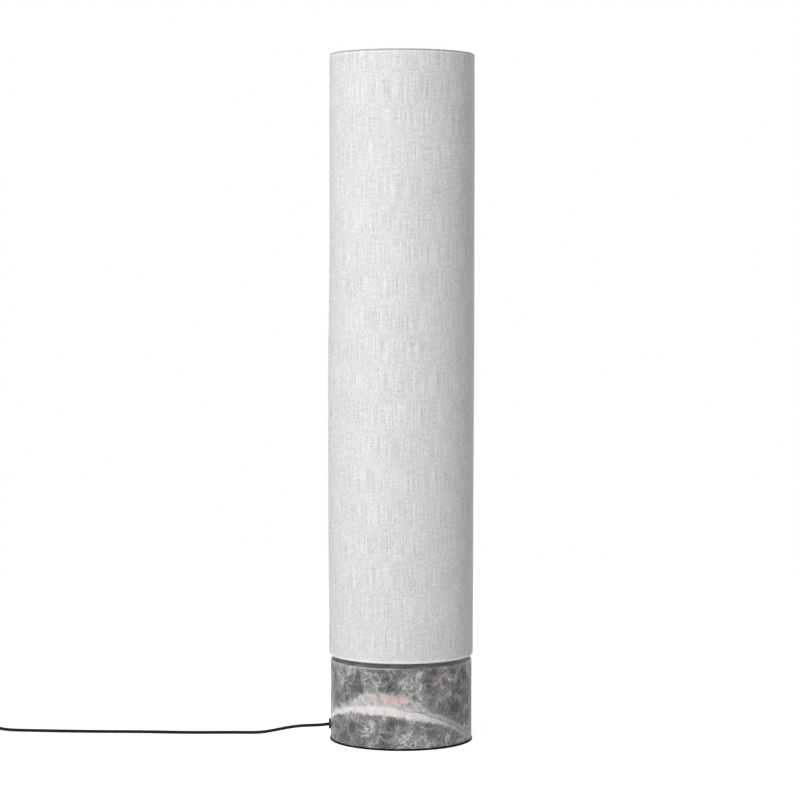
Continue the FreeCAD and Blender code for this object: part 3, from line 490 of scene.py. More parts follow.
# %% Shared groups
def new_group(name, inputs, outputs):
    """A node group with named inputs and outputs, and the sockets inside that stand for them."""
    tree = bpy.data.node_groups.new(name, "ShaderNodeTree")
    for label, kind, value in inputs:
        socket = tree.interface.new_socket(name=label, in_out="INPUT",
                                           socket_type=f"NodeSocket{kind}")
        if value is not None:
            socket.default_value = value
    for label, kind in outputs:
        tree.interface.new_socket(name=label, in_out="OUTPUT", socket_type=f"NodeSocket{kind}")
    inside, outside = tree.nodes.new("NodeGroupInput"), tree.nodes.new("NodeGroupOutput")
    return tree, inside.outputs, outside.inputs


DUST_COLOUR = screen(168, 163, 155)
PATCHES_PER_METRE, DUST_PER_METRE = 35.0, 60.0

grain, g_in, g_out = new_group(
    "Fine grain", [("Place", "Vector", None), ("Grains per metre", "Float", 1500.0)],
    [("Height", "Float"), ("Patch", "Float")])
grains = cloudy(grain, g_in["Place"], g_in["Grains per metre"], roughness=0.6)
grain.links.new(grains, g_out["Height"])
patches = cloudy(grain, g_in["Place"], PATCHES_PER_METRE, detail=3.0)
grain.links.new(patches, g_out["Patch"])

tone, t_in, t_out = new_group(
    "Uneven tone", [("Place", "Vector", None), ("Colour", "Color", None),
                    ("Clouds per metre", "Float", 30.0), ("Amount", "Float", 0.1)],
    [("Colour", "Color")])
clouds = cloudy(tone, t_in["Place"], t_in["Clouds per metre"], detail=4.0)
level = wandering(tone, clouds, t_in["Amount"], 1.0)
grey = put(tone, "ShaderNodeCombineColor", Red=level, Green=level, Blue=level)
tone.links.new(mix(tone, 1.0, t_in["Colour"], grey.outputs[0], "MULTIPLY"), t_out["Colour"])

dust, d_in, d_out = new_group(
    "Settled dust",
    [("Place", "Vector", None), ("Colour", "Color", None), ("Amount", "Float", 0.2)],
    [("Colour", "Color"), ("Share", "Float")])
facing = put(dust, "ShaderNodeNewGeometry").outputs["Normal"]
flecks = cloudy(dust, d_in["Place"], DUST_PER_METRE, detail=5.0, roughness=0.65)
film = times(dust, fade(dust, axes(dust, facing)["Z"], 0.2, 1.0), fade(dust, flecks, 0.35, 0.7))
share = times(dust, film, d_in["Amount"])
dust.links.new(mix(dust, share, d_in["Colour"], DUST_COLOUR), d_out["Colour"])
dust.links.new(share, d_out["Share"])
print("groups:", [g.name for g in bpy.data.node_groups])


# %% A blank finish
def new_finish(name, **fixed):
    """A material with its main shader and its place in metres. Values that are the same all over
    are set on the shader's own sockets."""
    material = bpy.data.materials.new(name)
    material.use_nodes = True
    tree = material.node_tree
    shader = tree.nodes["Principled BSDF"]
    for label, value in fixed.items():
        shader.inputs[label.replace("_", " ")].default_value = value
    place = put(tree, "ShaderNodeTexCoord").outputs["Object"]
    return material, tree, shader.inputs, place


def use_group(tree, group, **inputs):
    """Places a shared group in a finish, with its own values."""
    return put(tree, "ShaderNodeGroup", {"node_tree": group}, **inputs).outputs


def rough_surface(tree, height, depth, normal_input, strength=1.0):
    """Feeds a height, from 0 to 1 of a depth in metres, into the shader's normal."""
    bump = put(tree, "ShaderNodeBump", Height=height, Distance=depth, Strength=strength)
    tree.links.new(bump.outputs[0], normal_input)


# %% [markdown]
# ## Linen
# From a few metres the cloth is a light grey, but close by it is a mix of pale and grey yarn of
# uneven thickness. Thick places in a yarn, called slubs, show as short pale or dark dashes,
# mostly upright here, with fainter level ones. The group works on the flat strip's own map, in
# metres. Noise that is stretched a lot one way gives the yarns. Two waves give the fine weave.

# %% The threads
threads, c_in, c_out = new_group(
    "Woven threads", [("Place", "Vector", None), ("Weave", "Float", 0.0011)],
    [("Tone", "Float"), ("Height", "Float"), ("Warmth", "Float")])
SLUB_TONE, SLUB_HEIGHT, WAVE_HEIGHT = 0.22, 0.4, 0.25


def yarn_noise(across, up, detail=2.0, roughness=0.5):
    """Noise on the flat strip, with so many clouds to the metre across it and up it."""
    stretched = stretch(threads, c_in["Place"], (across, up, 1.0))
    return cloudy(threads, stretched, 1.0, detail, roughness)


upright = yarn_noise(760.0, 160.0, roughness=0.6)
long_yarn = yarn_noise(640.0, 18.0, detail=1.0)
level_yarn = yarn_noise(45.0, 760.0, roughness=0.6)
knots = yarn_noise(700.0, 520.0, roughness=0.6)
patch = yarn_noise(22.0, 9.0, detail=3.0)
slub = fade(threads, yarn_noise(520.0, 60.0, detail=1.0), 0.62, 0.76)
dark_slub = fade(threads, yarn_noise(560.0, 85.0, detail=1.0), 0.38, 0.24)
weights = ((upright, 1.0), (long_yarn, 0.9), (level_yarn, 0.7), (knots, 0.9), (patch, 0.14))
tone_sum = 0.5
for noise, weight in weights:
    tone_sum = wandering(threads, noise, weight, tone_sum)
tone_sum = maths(threads, "MULTIPLY_ADD", slub, SLUB_TONE, tone_sum)
tone_sum = maths(threads, "MULTIPLY_ADD", dark_slub, -SLUB_TONE, tone_sum)
threads.links.new(tone_sum, c_out["Tone"])

wave = maths(threads, "DIVIDE", c_in["Weave"], 2 * math.pi)
on_strip = axes(threads, c_in["Place"])
weft, warp = [maths(threads, "SINE", maths(threads, "DIVIDE", on_strip[axis], wave))
              for axis in "XY"]
weave = maths(threads, "MULTIPLY_ADD", times(threads, weft, warp), WAVE_HEIGHT, 0.5)
yarns = maths(threads, "MULTIPLY_ADD", maths(threads, "ADD", upright, level_yarn), 0.5, weave)
threads.links.new(maths(threads, "MULTIPLY_ADD", slub, SLUB_HEIGHT, yarns), c_out["Height"])
threads.links.new(yarn_noise(190.0, 150.0, detail=3.0), c_out["Warmth"])
print("Woven threads has", len(threads.nodes), "nodes")


# %% The linen finish
WALL_FROM, WALL_TO = along[HEM_ROWS - 1], along[-HEM_ROWS]
CREST = (-0.0040, -0.0030, -0.0006, 0.0004)
BELOW_CREST = (0.0006, 0.0014, 0.0026, 0.0040)
LOW_RIM = (-0.0026, -0.0012)
YARN_DARK, YARN_PALE = screen(199, 199, 199), screen(253, 253, 253)
COOL_TINT, WARM_TINT = screen(253, 254, 255), screen(255, 254, 251)
# Painted light for the pale rims of the sleeve, and painted shade for the dark top of the upper
# fold.
RIM_LIGHT_WHITE, FOLD_SHADE_GREY = screen(254, 254, 253), screen(158, 157, 154)
YARN_DEPTH = 0.00025


def make_linen():
    """The yarns, a faint tint that wanders, and the two rims: painted shade darkens the round top
    of the upper fold, and painted light makes the cloth pale just below it and on the lower fold.
    Where a rim lies is told by the length down the strip."""
    material, tree, shader, _ = new_finish("heathered_linen", Roughness=0.88, Sheen_Weight=0.06,
                                           Sheen_Roughness=0.5, Specular_IOR_Level=0.25)
    strip = put(tree, "ShaderNodeUVMap", {"uv_map": "cloth"}).outputs["UV"]
    yarn = use_group(tree, threads, Place=strip)
    colour = mix(tree, fade(tree, yarn["Tone"], 0.0, 1.0), YARN_DARK, YARN_PALE)
    tint = mix(tree, fade(tree, yarn["Warmth"], 0.3, 0.7), COOL_TINT, WARM_TINT)
    colour = mix(tree, 1.0, colour, tint, "MULTIPLY")
    down = axes(tree, strip)["Y"]
    # Painted shade on the top of the upper fold, and painted light just below it and on the lower
    # fold.
    fold_top_shade = band(tree, down, WALL_FROM, CREST)
    below = band(tree, down, WALL_FROM, BELOW_CREST)
    painted_rim_light = maths(tree, "MAXIMUM", times(tree, below, 0.5),
                   fade(tree, down, *(WALL_TO + edge for edge in LOW_RIM)))
    colour = paint(tree, colour, RIM_LIGHT_WHITE, painted_rim_light, strength=0.85)
    colour = paint(tree, colour, FOLD_SHADE_GREY, fold_top_shade, strength=0.55)
    tree.links.new(colour, shader["Base Color"])
    rough_surface(tree, yarn["Height"], YARN_DEPTH, shader["Normal"], strength=0.7)
    return material


linen = make_linen()
sleeve.data.materials.append(linen)

# %% [markdown]
# ## Marble
# The drum is a grey breccia: dark rounded lumps in a paler ground, held together by a net of
# white hairlines, and one broad white vein that arches across the front. A vein in real stone is
# a sheet that the saw and the lathe cut through, so it is made as a tilted plane with a
# wandering surface, and it meets the round wall in the same sweeping curve as in the picture. A
# second plane above the first gives the back its vein. Hairlines are made two ways: as the
# edges of bent cells, which join up like a net, and as the lines where a cloudy value crosses
# one half, which wander and close in loops. Places are in metres from the lamp's middle.

# %% Bent places and hairlines
def bent(tree, place, clouds, reach):
    """A place pushed each way by up to half a reach, in metres, with so many clouds a metre."""
    noise = put(tree, "ShaderNodeTexNoise", Vector=place, Scale=clouds, Detail=2.0)
    push = vectors(tree, "SUBTRACT", noise.outputs["Color"], (0.5, 0.5, 0.5))
    return vectors(tree, "MULTIPLY_ADD", push, (reach, reach, reach), place)


hairlines, k_in, k_out = new_group(
    "Hairlines", [("Place", "Vector", None), ("Per metre", "Float", 60.0), ("Width", "Float", 0.02),
                  ("Cell width", "Float", 0.04)], [("Loops", "Float"), ("Net", "Float")])
uneven = fade(hairlines, cloudy(hairlines, k_in["Place"], 95.0), 0.35, 0.65, 0.25, 1.5)
crossing = gap(hairlines, cloudy(hairlines, k_in["Place"], k_in["Per metre"], 1.5), 0.5)
to_edge = put(hairlines, "ShaderNodeTexVoronoi", {"feature": "DISTANCE_TO_EDGE"},
              Vector=k_in["Place"], Scale=k_in["Per metre"]).outputs["Distance"]
for away, width, core, result in ((crossing, "Width", 0.15, "Loops"),
                                  (to_edge, "Cell width", 0.1, "Net")):
    in_widths = maths(hairlines, "DIVIDE", away, times(hairlines, k_in[width], uneven))
    hairlines.links.new(fade(hairlines, in_widths, core, 1.0, 1.0, 0.0), k_out[result])

# %% [markdown]
# The vein's plane is a height and a slope each way. Its upper edge follows the plane, and its
# lower edge leaves it and comes back, so the band is broad in the middle and thin at its ends.
# Both edges are torn by a fine noise. On the right a greyer strand grows out of its upper edge.

# %% The vein
VEIN_SLOPE_X, VEIN_SLOPE_Y = -0.179, -0.473
FRONT_VEIN_Z, BACK_VEIN_Z = 0.009, 0.149
WANDER = ((30.0, 0.008), (130.0, 0.0035))

vein, v_in, v_out = new_group(
    "Stone vein", [("Place", "Vector", None), ("Height", "Float", FRONT_VEIN_Z)],
    [("Vein", "Float"), ("Strand", "Float"), ("Above", "Float")])
xyz = axes(vein, v_in["Place"])
plane = maths(vein, "MULTIPLY_ADD", xyz["X"], VEIN_SLOPE_X, v_in["Height"])
plane = maths(vein, "MULTIPLY_ADD", xyz["Y"], VEIN_SLOPE_Y, plane)
above = maths(vein, "SUBTRACT", xyz["Z"], plane)
for per_metre, reach in WANDER:
    above = wandering(vein, cloudy(vein, v_in["Place"], per_metre), reach, above)
vein.links.new(above, v_out["Above"])

torn = cloudy(vein, v_in["Place"], 130.0, 6.0, 0.78)
low_edge = maths(vein, "SUBTRACT", fade(vein, xyz["X"], 0.01, 0.10, 0.0, 0.009),
                 fade(vein, xyz["X"], -0.125, -0.04, 0.004, 0.0115))
from_low = wandering(vein, torn, 0.012, maths(vein, "SUBTRACT", above, low_edge))
from_high = wandering(vein, torn, 0.008, above)
body = times(vein, fade(vein, from_low, -0.0026, 0.0036),
             fade(vein, from_high, 0.0068, 0.0010))
vein.links.new(body, v_out["Vein"])

strand_top = fade(vein, xyz["X"], 0.005, 0.075, 0.0, 0.0125)
strand = times(vein, fade(vein, above, 0.0035, 0.0055),
               fade(vein, maths(vein, "SUBTRACT", above, strand_top), 0.003, -0.003))
vein.links.new(strand, v_out["Strand"])
print("Hairlines and Stone vein:", len(hairlines.nodes) + len(vein.nodes), "nodes")

# %% [markdown]
# Noise alone never puts a dark lump where the eye expects one, so the largest lumps, a few dark
# specks, the palest clusters of hairlines and the salmon and pink stains are placed one by one on
# the front. Each is a soft ball whose centre lies on the wall: a position across, a height and a
# radius. The same bent place makes all of them irregular, and more lumps come from cells, all round
# the stone.

# %% Lumps and clusters placed one by one
STONE_R, _, STONE_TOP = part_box("stone_base")[1]
DARK_LUMPS = [
    (-0.094, 0.083, 0.006), (-0.072, 0.104, 0.010), (-0.030, 0.131, 0.012), (-0.014, 0.110, 0.011),
    (0.045, 0.116, 0.010), (0.056, 0.134, 0.008), (0.092, 0.070, 0.015), (-0.086, 0.038, 0.010),
    (-0.020, 0.043, 0.011), (0.003, 0.036, 0.008), (0.026, 0.034, 0.009), (-0.051, 0.024, 0.006),
    (0.092, 0.014, 0.012), (0.096, 0.105, 0.014), (-0.074, 0.127, 0.009), (0.108, 0.124, 0.014),
    (0.113, 0.088, 0.013), (0.074, 0.118, 0.009), (0.105, 0.045, 0.010),
]
DARK_SPECKS = [
    (0.022, 0.092, 0.0040), (0.014, 0.081, 0.0024), (-0.109, 0.051, 0.0022),
    (-0.054, 0.058, 0.0022), (-0.042, 0.073, 0.0016), (0.036, 0.085, 0.0018),
    (-0.092, 0.088, 0.0030),
]
PALE_CLUSTERS = [
    (-0.056, 0.033, 0.015), (-0.108, 0.134, 0.012), (-0.104, 0.116, 0.011), (-0.030, 0.051, 0.009),
    (0.020, 0.010, 0.010), (0.038, 0.018, 0.009), (-0.041, 0.122, 0.010), (0.024, 0.119, 0.009),
]
SALMON_STAINS = [
    (-0.053, 0.088, 0.007), (-0.041, 0.081, 0.007), (-0.026, 0.083, 0.010), (-0.012, 0.086, 0.008),
    (0.001, 0.088, 0.009),
]
PINK_HINTS = [
    (-0.109, 0.097, 0.010), (0.068, 0.121, 0.008), (-0.080, 0.058, 0.008), (0.010, 0.062, 0.008),
]
BALL_CORE, BALL_EDGE = 0.45, 1.45


def soft_balls(tree, place, balls):
    """The greatest of all the balls' values. A ball is 1 in its core and 0 from its edge on."""
    most = 0.0
    for x, z, radius in balls:
        centre = (x, -math.sqrt(STONE_R ** 2 - x ** 2), z)
        away = vectors(tree, "DISTANCE", place, centre)
        ball = fade(tree, away, BALL_CORE * radius, BALL_EDGE * radius, 1.0, 0.0)
        most = maths(tree, "MAXIMUM", ball, most)
    return most


# %% The stone's colours
GROUND_DARK, GROUND_PALE, LUMP_GREY = screen(99, 98, 98), screen(145, 144, 144), screen(83, 83, 84)
CLUSTER_GREY, HAIR_WHITE = screen(172, 171, 171), screen(226, 226, 225)
GREENISH, PINKISH = screen(246, 255, 246), screen(255, 238, 236)
HAZE_GREY, HAZE_WHITE = screen(184, 184, 185), screen(226, 225, 225)
SALMON, FAINT_PINK = screen(233, 192, 181), screen(206, 168, 160)
VEIN_WHITE, VEIN_ROSE = screen(243, 241, 240), screen(234, 216, 212)
VEIN_DIM, VEIN_RIGHT = screen(214, 212, 211), screen(186, 181, 180)
STRAND_GREY, CRACK_GREY = screen(170, 166, 166), screen(120, 112, 112)
# The last colour on the next line is a painted highlight for the stone's top edge.
SPECK_GREY, ARRIS_HIGHLIGHT = screen(98, 100, 97), screen(200, 199, 197)


# %% The ground, its lumps and its hairlines
def ground_with_lumps(tree, nearly, far_bent, zone, mottle):
    """Two greys that wander into each other, with dark lumps in them. Some lumps are the middles of
    chosen cells, and the others are given one by one. Gives the colour, and where lumps are."""
    pale = fade(tree, wandering(tree, mottle, 0.55, zone), 0.30, 0.70)
    stone = mix(tree, pale, GROUND_DARK, GROUND_PALE)
    cells = put(tree, "ShaderNodeTexVoronoi", {"feature": "F1"}, Vector=far_bent, Scale=44.0)
    chosen = put(tree, "ShaderNodeSeparateColor", Color=cells.outputs["Color"]).outputs[0]
    lump = times(tree, fade(tree, cells.outputs["Distance"], 0.62, 0.30),
                 fade(tree, chosen, 0.35, 0.55))
    lump = maths(tree, "MAXIMUM", times(tree, lump, 0.65),
                 soft_balls(tree, nearly, DARK_LUMPS))
    return paint(tree, stone, LUMP_GREY, lump, strength=0.78), lump


def with_hairlines(tree, stone, place, nearly, far_bent, lump):
    """A coarse net of pale hairlines everywhere and a finer one in the clusters, both fainter
    over the lumps. Gives the colour, and where hairlines are."""
    cluster = fade(tree, cloudy(tree, place, 26.0, 3.0, 0.6), 0.46, 0.62)
    cluster = maths(tree, "MAXIMUM", cluster, soft_balls(tree, nearly, PALE_CLUSTERS))
    coarse = use_group(tree, hairlines, Place=far_bent, Per_metre=44.0, Width=0.015,
                       Cell_width=0.040)
    small = use_group(tree, hairlines, Place=bent(tree, nearly, 38.0, 0.016), Per_metre=100.0,
                      Width=0.034, Cell_width=0.078)
    hair = maths(tree, "MAXIMUM", times(tree, coarse["Net"], 0.85),
                 times(tree, coarse["Loops"], 0.65))
    hair = times(tree, hair, maths(tree, "MULTIPLY_ADD", cluster, 0.50, 0.46))
    fine = maths(tree, "MAXIMUM", times(tree, small["Net"], 0.75), small["Loops"])
    fine = times(tree, fine, maths(tree, "MULTIPLY_ADD", cluster, 0.80, 0.10))
    hair = times(tree, maths(tree, "MAXIMUM", hair, fine),
                 maths(tree, "MULTIPLY_ADD", lump, -0.55, 1.0))
    stone = paint(tree, stone, CLUSTER_GREY, cluster, strength=0.20)
    return mix(tree, hair, stone, HAIR_WHITE), hair


# %% The pale cloud above the vein, and the stains
def with_cloud(tree, stone, place, across, above, mottle, lump):
    """A ragged pale cloud that lies on the vein, is lower at the left, and ends on the right. It
    is thinner over a lump. Across and above are metres: from the middle, and above the vein."""
    ragged = wandering(tree, cloudy(tree, place, 85.0, 6.0, 0.68), 0.034, above)
    top = times(tree, fade(tree, across, -0.100, -0.055, 0.010, 0.028),
                fade(tree, across, 0.062, 0.004, 0.45, 1.0))
    cloud = times(tree, fade(tree, ragged, -0.004, 0.001),
                  fade(tree, maths(tree, "SUBTRACT", ragged, top), 0.006, -0.007))
    cloud = times(tree, cloud, fade(tree, across, 0.078, 0.020))
    haze = mix(tree, fade(tree, mottle, 0.38, 0.62), HAZE_GREY, HAZE_WHITE)
    return paint(tree, stone, haze, cloud, maths(tree, "MULTIPLY_ADD", lump, -0.3, 0.88))


def with_stains(tree, stone, nearly, across, above, hair):
    """Salmon stains in the cloud, a fainter pink along hairlines in a few places, and a pink arc
    that climbs away from the vein on the right."""
    stained = fade(tree, cloudy(tree, nearly, 130.0, 4.0, 0.7), 0.28, 0.66)
    salmon = times(tree, soft_balls(tree, nearly, SALMON_STAINS), stained)
    stone = paint(tree, stone, SALMON, salmon, strength=0.70)
    on_lines = maths(tree, "MAXIMUM", hair, times(tree, stained, 0.5))
    hinted = times(tree, soft_balls(tree, nearly, PINK_HINTS), on_lines)
    arc = gap(tree, above, fade(tree, across, 0.050, 0.085, 0.037, 0.052))
    arc = times(tree, fade(tree, arc, 0.0004, 0.0024, 1.0, 0.0),
                fade(tree, across, 0.008, 0.016))
    arc = times(tree, times(tree, arc, stained),
                fade(tree, across, 0.092, 0.070))
    return paint(tree, stone, FAINT_PINK, maths(tree, "MAXIMUM", hinted, arc), strength=0.45)


# %% The veins and the arris
def with_veins(tree, stone, nearly, across, front, back, mottle):
    """The white veins of the front and the back, rosy in places and greyer to the right. On the
    right of the front one lie its strand and a dark crack between the two."""
    rosy = fade(tree, cloudy(tree, nearly, 85.0, 4.0, 0.6), 0.50, 0.72)
    white = mix(tree, rosy, VEIN_WHITE, VEIN_ROSE)
    white = mix(tree, fade(tree, mottle, 0.52, 0.36, 0.0, 0.6), white, VEIN_DIM)
    white = mix(tree, fade(tree, across, 0.030, 0.100, 0.0, 0.75), white, VEIN_RIGHT)
    strand = mix(tree, 0.35, white, STRAND_GREY)
    stone = paint(tree, stone, strand, front["Strand"], strength=0.8)
    veins = maths(tree, "MAXIMUM", front["Vein"], times(tree, back["Vein"], 0.85))
    stone = paint(tree, stone, white, veins, strength=0.93)
    crack = gap(tree, front["Above"], fade(tree, across, 0.0, 0.045, 0.0022, 0.0048))
    crack = times(tree, fade(tree, crack, 0.0003, 0.0011, 1.0, 0.0),
                  fade(tree, across, -0.012, 0.008))
    return paint(tree, stone, CRACK_GREY, crack, strength=0.7)


def with_arris(tree, stone, place, across, up):
    """A painted highlight: a pale line on the turned edge round the top, strongest on the left,
    where the light catches it.
    """
    from_axis = vectors(tree, "LENGTH", stretch(tree, place, (1.0, 1.0, 0.0)))
    arris = times(tree, fade(tree, up, STONE_TOP - 0.0032, STONE_TOP - 0.0018),
                  fade(tree, from_axis, STONE_R - 0.0022, STONE_R - 0.0008))
    arris = times(tree, arris, fade(tree, across, 0.020, -0.050, 0.16, 0.60))
    return mix(tree, arris, stone, ARRIS_HIGHLIGHT)


# %% The marble finish
HAIR_DEPTH = 0.00008


def make_marble():
    """The layers from the ground up. Hairlines are duller than the polish and slightly raised."""
    material, tree, shader, place = new_finish("polished_marble", IOR=1.5, Specular_IOR_Level=0.11)
    across, _, up = axes(tree, place)
    nearly = bent(tree, bent(tree, place, 55.0, 0.014), 170.0, 0.005)
    far_bent = bent(tree, bent(tree, nearly, 16.0, 0.030), 38.0, 0.018)
    front = use_group(tree, vein, Place=place)
    back = use_group(tree, vein, Place=place, Height=BACK_VEIN_Z)
    zone = cloudy(tree, far_bent, 22.0, 5.0, 0.62)
    mottle = cloudy(tree, nearly, 120.0, 4.0, 0.65)

    stone, lump = ground_with_lumps(tree, nearly, far_bent, zone, mottle)
    stone, hair = with_hairlines(tree, stone, place, nearly, far_bent, lump)
    tinge = cloudy(tree, nearly, 34.0)
    stone = mix(tree, fade(tree, tinge, 0.56, 0.70, 0.0, 0.5), stone, GREENISH, "MULTIPLY")
    stone = mix(tree, fade(tree, tinge, 0.44, 0.32, 0.0, 0.6), stone, PINKISH, "MULTIPLY")
    stone = with_cloud(tree, stone, place, across, front["Above"], mottle, lump)
    stone = with_stains(tree, stone, nearly, across, front["Above"], hair)
    stone = with_veins(tree, stone, nearly, across, front, back, mottle)
    stone = paint(tree, stone, SPECK_GREY, soft_balls(tree, nearly, DARK_SPECKS), strength=0.7)
    stone = with_arris(tree, stone, place, across, up)
    tree.links.new(stone, shader["Base Color"])

    polish = maths(tree, "MULTIPLY_ADD", hair, 0.12, fade(tree, zone, 0.3, 0.7, 0.36, 0.44))
    tree.links.new(polish, shader["Roughness"])
    rough_surface(tree, hair, HAIR_DEPTH, shader["Normal"], strength=0.3)
    return material


marble = make_marble()

# %% [markdown]
# ## Hard finishes
# Steel, brass, plastics, glass-like globes and rubber are simpler. Each still has its own grain,
# a tone that wanders, and dust where it lies. The values differ because the processes differ:
# powder coat has a soft orange peel, zinc a patchy dull shine, and a moulded switch the fine
# sparkle of its eroded mould.

# %% Painted, plated and moulded
METAL = {"Metallic": 1.0}
DUST_DULLS = 0.4
GRAIN_STRENGTH = 0.6

# Slot: name, colour on screen, roughness, grains per metre, their depth in micrometres, how much
# the tone wanders, how much dust lies on it, and what is set on the shader's own sockets
HARD_FINISHES = {
    "pad_foam": ("black_foam_pad", (20, 20, 20), 0.90, 900.0, 250, 0.25, 0.0,
                 {"Specular_IOR_Level": 0.1}),
    "zinc_steel": ("zinc_plate", (186, 186, 188), 0.36, 700.0, 20, 0.22, 0.0, METAL),
    "black_steel": ("black_powder_coat", (48, 48, 49), 0.50, 1100.0, 80, 0.15, 0.0, {}),
    "white_steel": ("white_powder_coat", (232, 231, 228), 0.42, 1000.0, 60, 0.05, 0.18, {}),
    "brass": ("turned_brass", (214, 180, 112), 0.28, 1400.0, 20, 0.16, 0.0, METAL),
    "shade_lining": ("white_lining", (240, 239, 234), 0.55, 500.0, 50, 0.04, 0.0, {}),
    "white_plastic": ("white_moulding", (234, 233, 228), 0.38, 1600.0, 20, 0.04, 0.12, {}),
    "black_plastic": ("black_moulding", (25, 25, 26), 0.48, 1800.0, 60, 0.18, 0.03,
                      {"Specular_IOR_Level": 0.25}),
    "cord_sheath": ("black_cord_sheath", (23, 23, 24), 0.60, 1300.0, 30, 0.20, 0.02,
                    {"Specular_IOR_Level": 0.12}),
    "ceramic": ("glazed_ceramic", (236, 232, 222), 0.22, 600.0, 30, 0.06, 0.0, {}),
    "opal": ("opal_globe", (244, 243, 238), 0.20, 300.0, 20, 0.02, 0.10, {"Coat_Weight": 0.3}),
    "nickel": ("nickel_plate", (214, 210, 204), 0.20, 900.0, 10, 0.10, 0.0, METAL),
    "wire_sheath": ("white_wire_sheath", (226, 225, 218), 0.45, 1300.0, 30, 0.08, 0.10, {}),
    "spring_steel": ("spring_wire", (168, 168, 170), 0.32, 1200.0, 30, 0.20, 0.0, METAL),
    "block_plastic": ("nylon_block", (222, 220, 208), 0.50, 1200.0, 50, 0.06, 0.10, {}),
}


def hard_finish(name, colour, rough, grains, depth, wander, dusty, fixed):
    """One shader with an uneven tone, a fine grain in its normal, a roughness that varies by a
    seventh around its middle value, and a film of dust on faces that look upwards."""
    material, tree, shader, place = new_finish(name, **fixed)
    toned = use_group(tree, tone, Place=place, Colour=screen(*colour), Amount=wander)
    filmed = use_group(tree, dust, Place=place, Colour=toned["Colour"], Amount=dusty)
    tree.links.new(filmed["Colour"], shader["Base Color"])
    fine = use_group(tree, grain, Place=place, Grains_per_metre=grains)
    patchy = fade(tree, fine["Patch"], 0.3, 0.7, rough * 0.85, rough * 1.15)
    dulled = maths(tree, "MULTIPLY_ADD", filmed["Share"], DUST_DULLS, patchy)
    tree.links.new(dulled, shader["Roughness"])
    rough_surface(tree, fine["Height"], depth / 1e6, shader["Normal"], GRAIN_STRENGTH)
    return material


finishes = {slot: hard_finish(*row) for slot, row in HARD_FINISHES.items()}
finishes.update(marble=marble, linen=linen)
for part in frame["record"]["subparts"]:
    nodes[part["node"]].material_slots[0].material = finishes[part["material_slot"]]
for piece in (lead, coiled):
    piece.data.materials.append(finishes["cord_sheath"])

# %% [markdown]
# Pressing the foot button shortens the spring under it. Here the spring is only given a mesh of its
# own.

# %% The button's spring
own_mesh(nodes["switch_spring"])

# %% [markdown]
# ## Floor, light and background
# The picture is a cut-out on plain white. The floor and the world are therefore white to the
# camera and in reflections only, so that they don't light the lamp more than a room would, and
# near the lamp a part of the floor's white is real diffuse light, which keeps the shadow. The
# main soft lamp stands in front on the left, and a second one further round on that side. A
# faint high one on the right lifts the dark side near the top, and one behind shows the back
# in other views.

# %% World and floor
AMBIENT = 0.345
FLOOR_HALF = 14.0
FLOOR_WHITE, FLOOR_GLOW = 0.8, 0.66
NEAR_ENDS, FAR_STARTS = 1.1, 2.6


def seen_directly(tree):
    """1 for a ray from the camera, or for what gloss or glass shows, and 0 for diffuse light."""
    rays = put(tree, "ShaderNodeLightPath").outputs
    either = maths(tree, "MAXIMUM", rays["Is Camera Ray"], rays["Is Glossy Ray"])
    return maths(tree, "MAXIMUM", either, rays["Is Transmission Ray"])


world = bpy.data.worlds.new("white_room")
world.use_nodes = True
bpy.context.scene.world = world
air = world.node_tree
air.nodes["Background"].inputs["Color"].default_value = (1.0, 1.0, 1.0, 1.0)
connect(air, maths(air, "MULTIPLY_ADD", seen_directly(air), 1.0 - AMBIENT, AMBIENT),
        air.nodes["Background"].inputs["Strength"])

floor_corners = FLOOR_HALF * np.array([(-1, -1, 0), (1, -1, 0), (1, 1, 0), (-1, 1, 0)])
floor = mesh_piece("floor", floor_corners, [(0, 1, 2, 3)], smooth=False)
floor_white = bpy.data.materials.new("white_floor")
floor_white.use_nodes = True
tree = floor_white.node_tree
tree.nodes.remove(tree.nodes["Principled BSDF"])
matt_colour = (FLOOR_WHITE, FLOOR_WHITE, FLOOR_WHITE, 1.0)
matt = put(tree, "ShaderNodeBsdfDiffuse", Color=matt_colour).outputs[0]
seen = seen_directly(tree)
glow_strength = times(tree, seen, FLOOR_GLOW)
glow = put(tree, "ShaderNodeEmission", Strength=glow_strength).outputs[0]
near = in_order(tree, "ShaderNodeAddShader", {}, matt, glow)[0]
far = put(tree, "ShaderNodeEmission", Strength=1.0).outputs[0]
from_middle = vectors(tree, "LENGTH", put(tree, "ShaderNodeTexCoord").outputs["Object"])
away = times(tree, fade(tree, from_middle, NEAR_ENDS, FAR_STARTS), seen)
both = in_order(tree, "ShaderNodeMixShader", {}, away, near, far)[0]
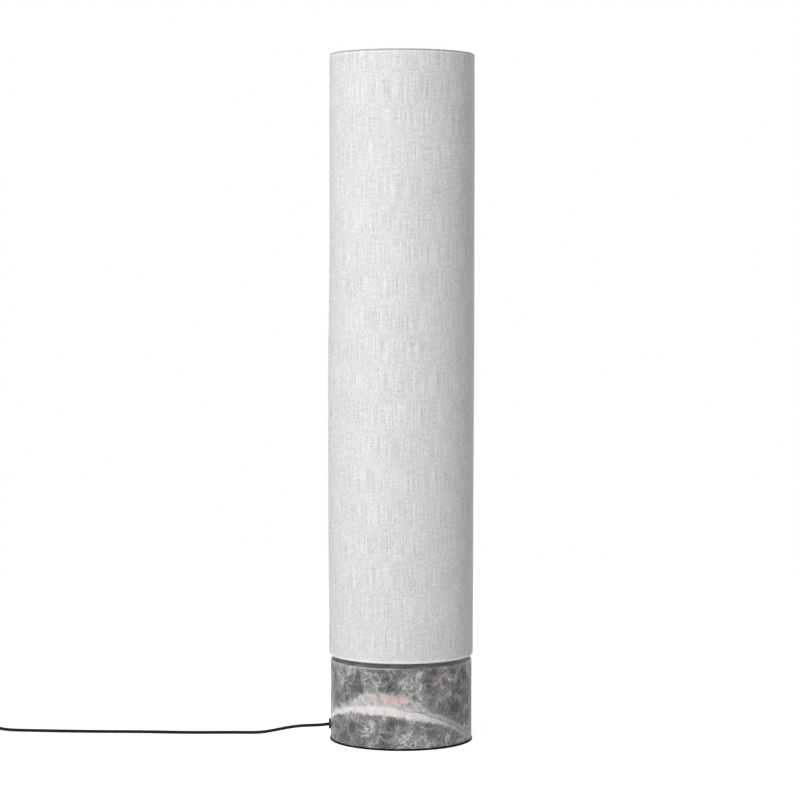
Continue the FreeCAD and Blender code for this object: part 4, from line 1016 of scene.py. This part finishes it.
tree.links.new(both, tree.nodes["Material Output"].inputs["Surface"])
floor.data.materials.append(floor_white)
print("floor", 2 * FLOOR_HALF, "m wide")


# %% Soft lamps
def soft_lamp(name, side_angle, level, distance=3.3, size=(1.3, 2.2), middle=1.45):
    """A large lamp on a circle round the lamp's middle, at an angle from the front towards the
    left. level is what a white matt wall square to it would show, from 0 to 1: the power is
    that level times the distance squared and pi squared."""
    data = bpy.data.lights.new(name, "AREA")
    data.shape = "RECTANGLE"
    data.size, data.size_y = size
    data.energy = level * (math.pi * distance) ** 2
    lamp = bpy.data.objects.new(name, data)
    a = math.radians(side_angle)
    lamp.location = (-distance * math.sin(a), -distance * math.cos(a), middle)
    lamp.rotation_euler = (math.radians(90), 0.0, -a)
    bpy.context.scene.collection.objects.link(lamp)
    return lamp


lamps = [
    soft_lamp("key_left_front", side_angle=23.0, level=0.54),
    soft_lamp("side_left", side_angle=80.0, level=0.18),
    soft_lamp("fill_right_front", side_angle=-28.0, level=0.04, middle=2.0),
    soft_lamp("rear_fill", side_angle=200.0, level=0.30),
]
print("lamps:", [round(lamp.data.energy, 1) for lamp in lamps], "watts")

# %% [markdown]
# Linen lets some daylight through, so the inside of a real shade isn't dark, and the top of the
# stone shows in the gap below it. A round lamp inside, which the camera can't see, stands in for
# that light. It hangs about 15 cm above the gap and shines down.

# %% Daylight inside the shade
INSIDE_Z, INSIDE_SIZE, INSIDE_WATTS = 0.30, 0.17, 0.055
inside_data = bpy.data.lights.new("daylight_inside", "AREA")
inside_data.shape = "DISK"
inside_data.size = INSIDE_SIZE
inside_data.energy = INSIDE_WATTS
inside = bpy.data.objects.new("daylight_inside", inside_data)
inside.location = (0.0, 0.0, INSIDE_Z)
inside.visible_camera = False
bpy.context.scene.collection.objects.link(inside)
print("inside lamp", INSIDE_WATTS, "watts")

# %% [markdown]
# ## Last step
# The scene is brought up to date once more.

# %% Bring the scene up to date
bpy.context.view_layer.update()
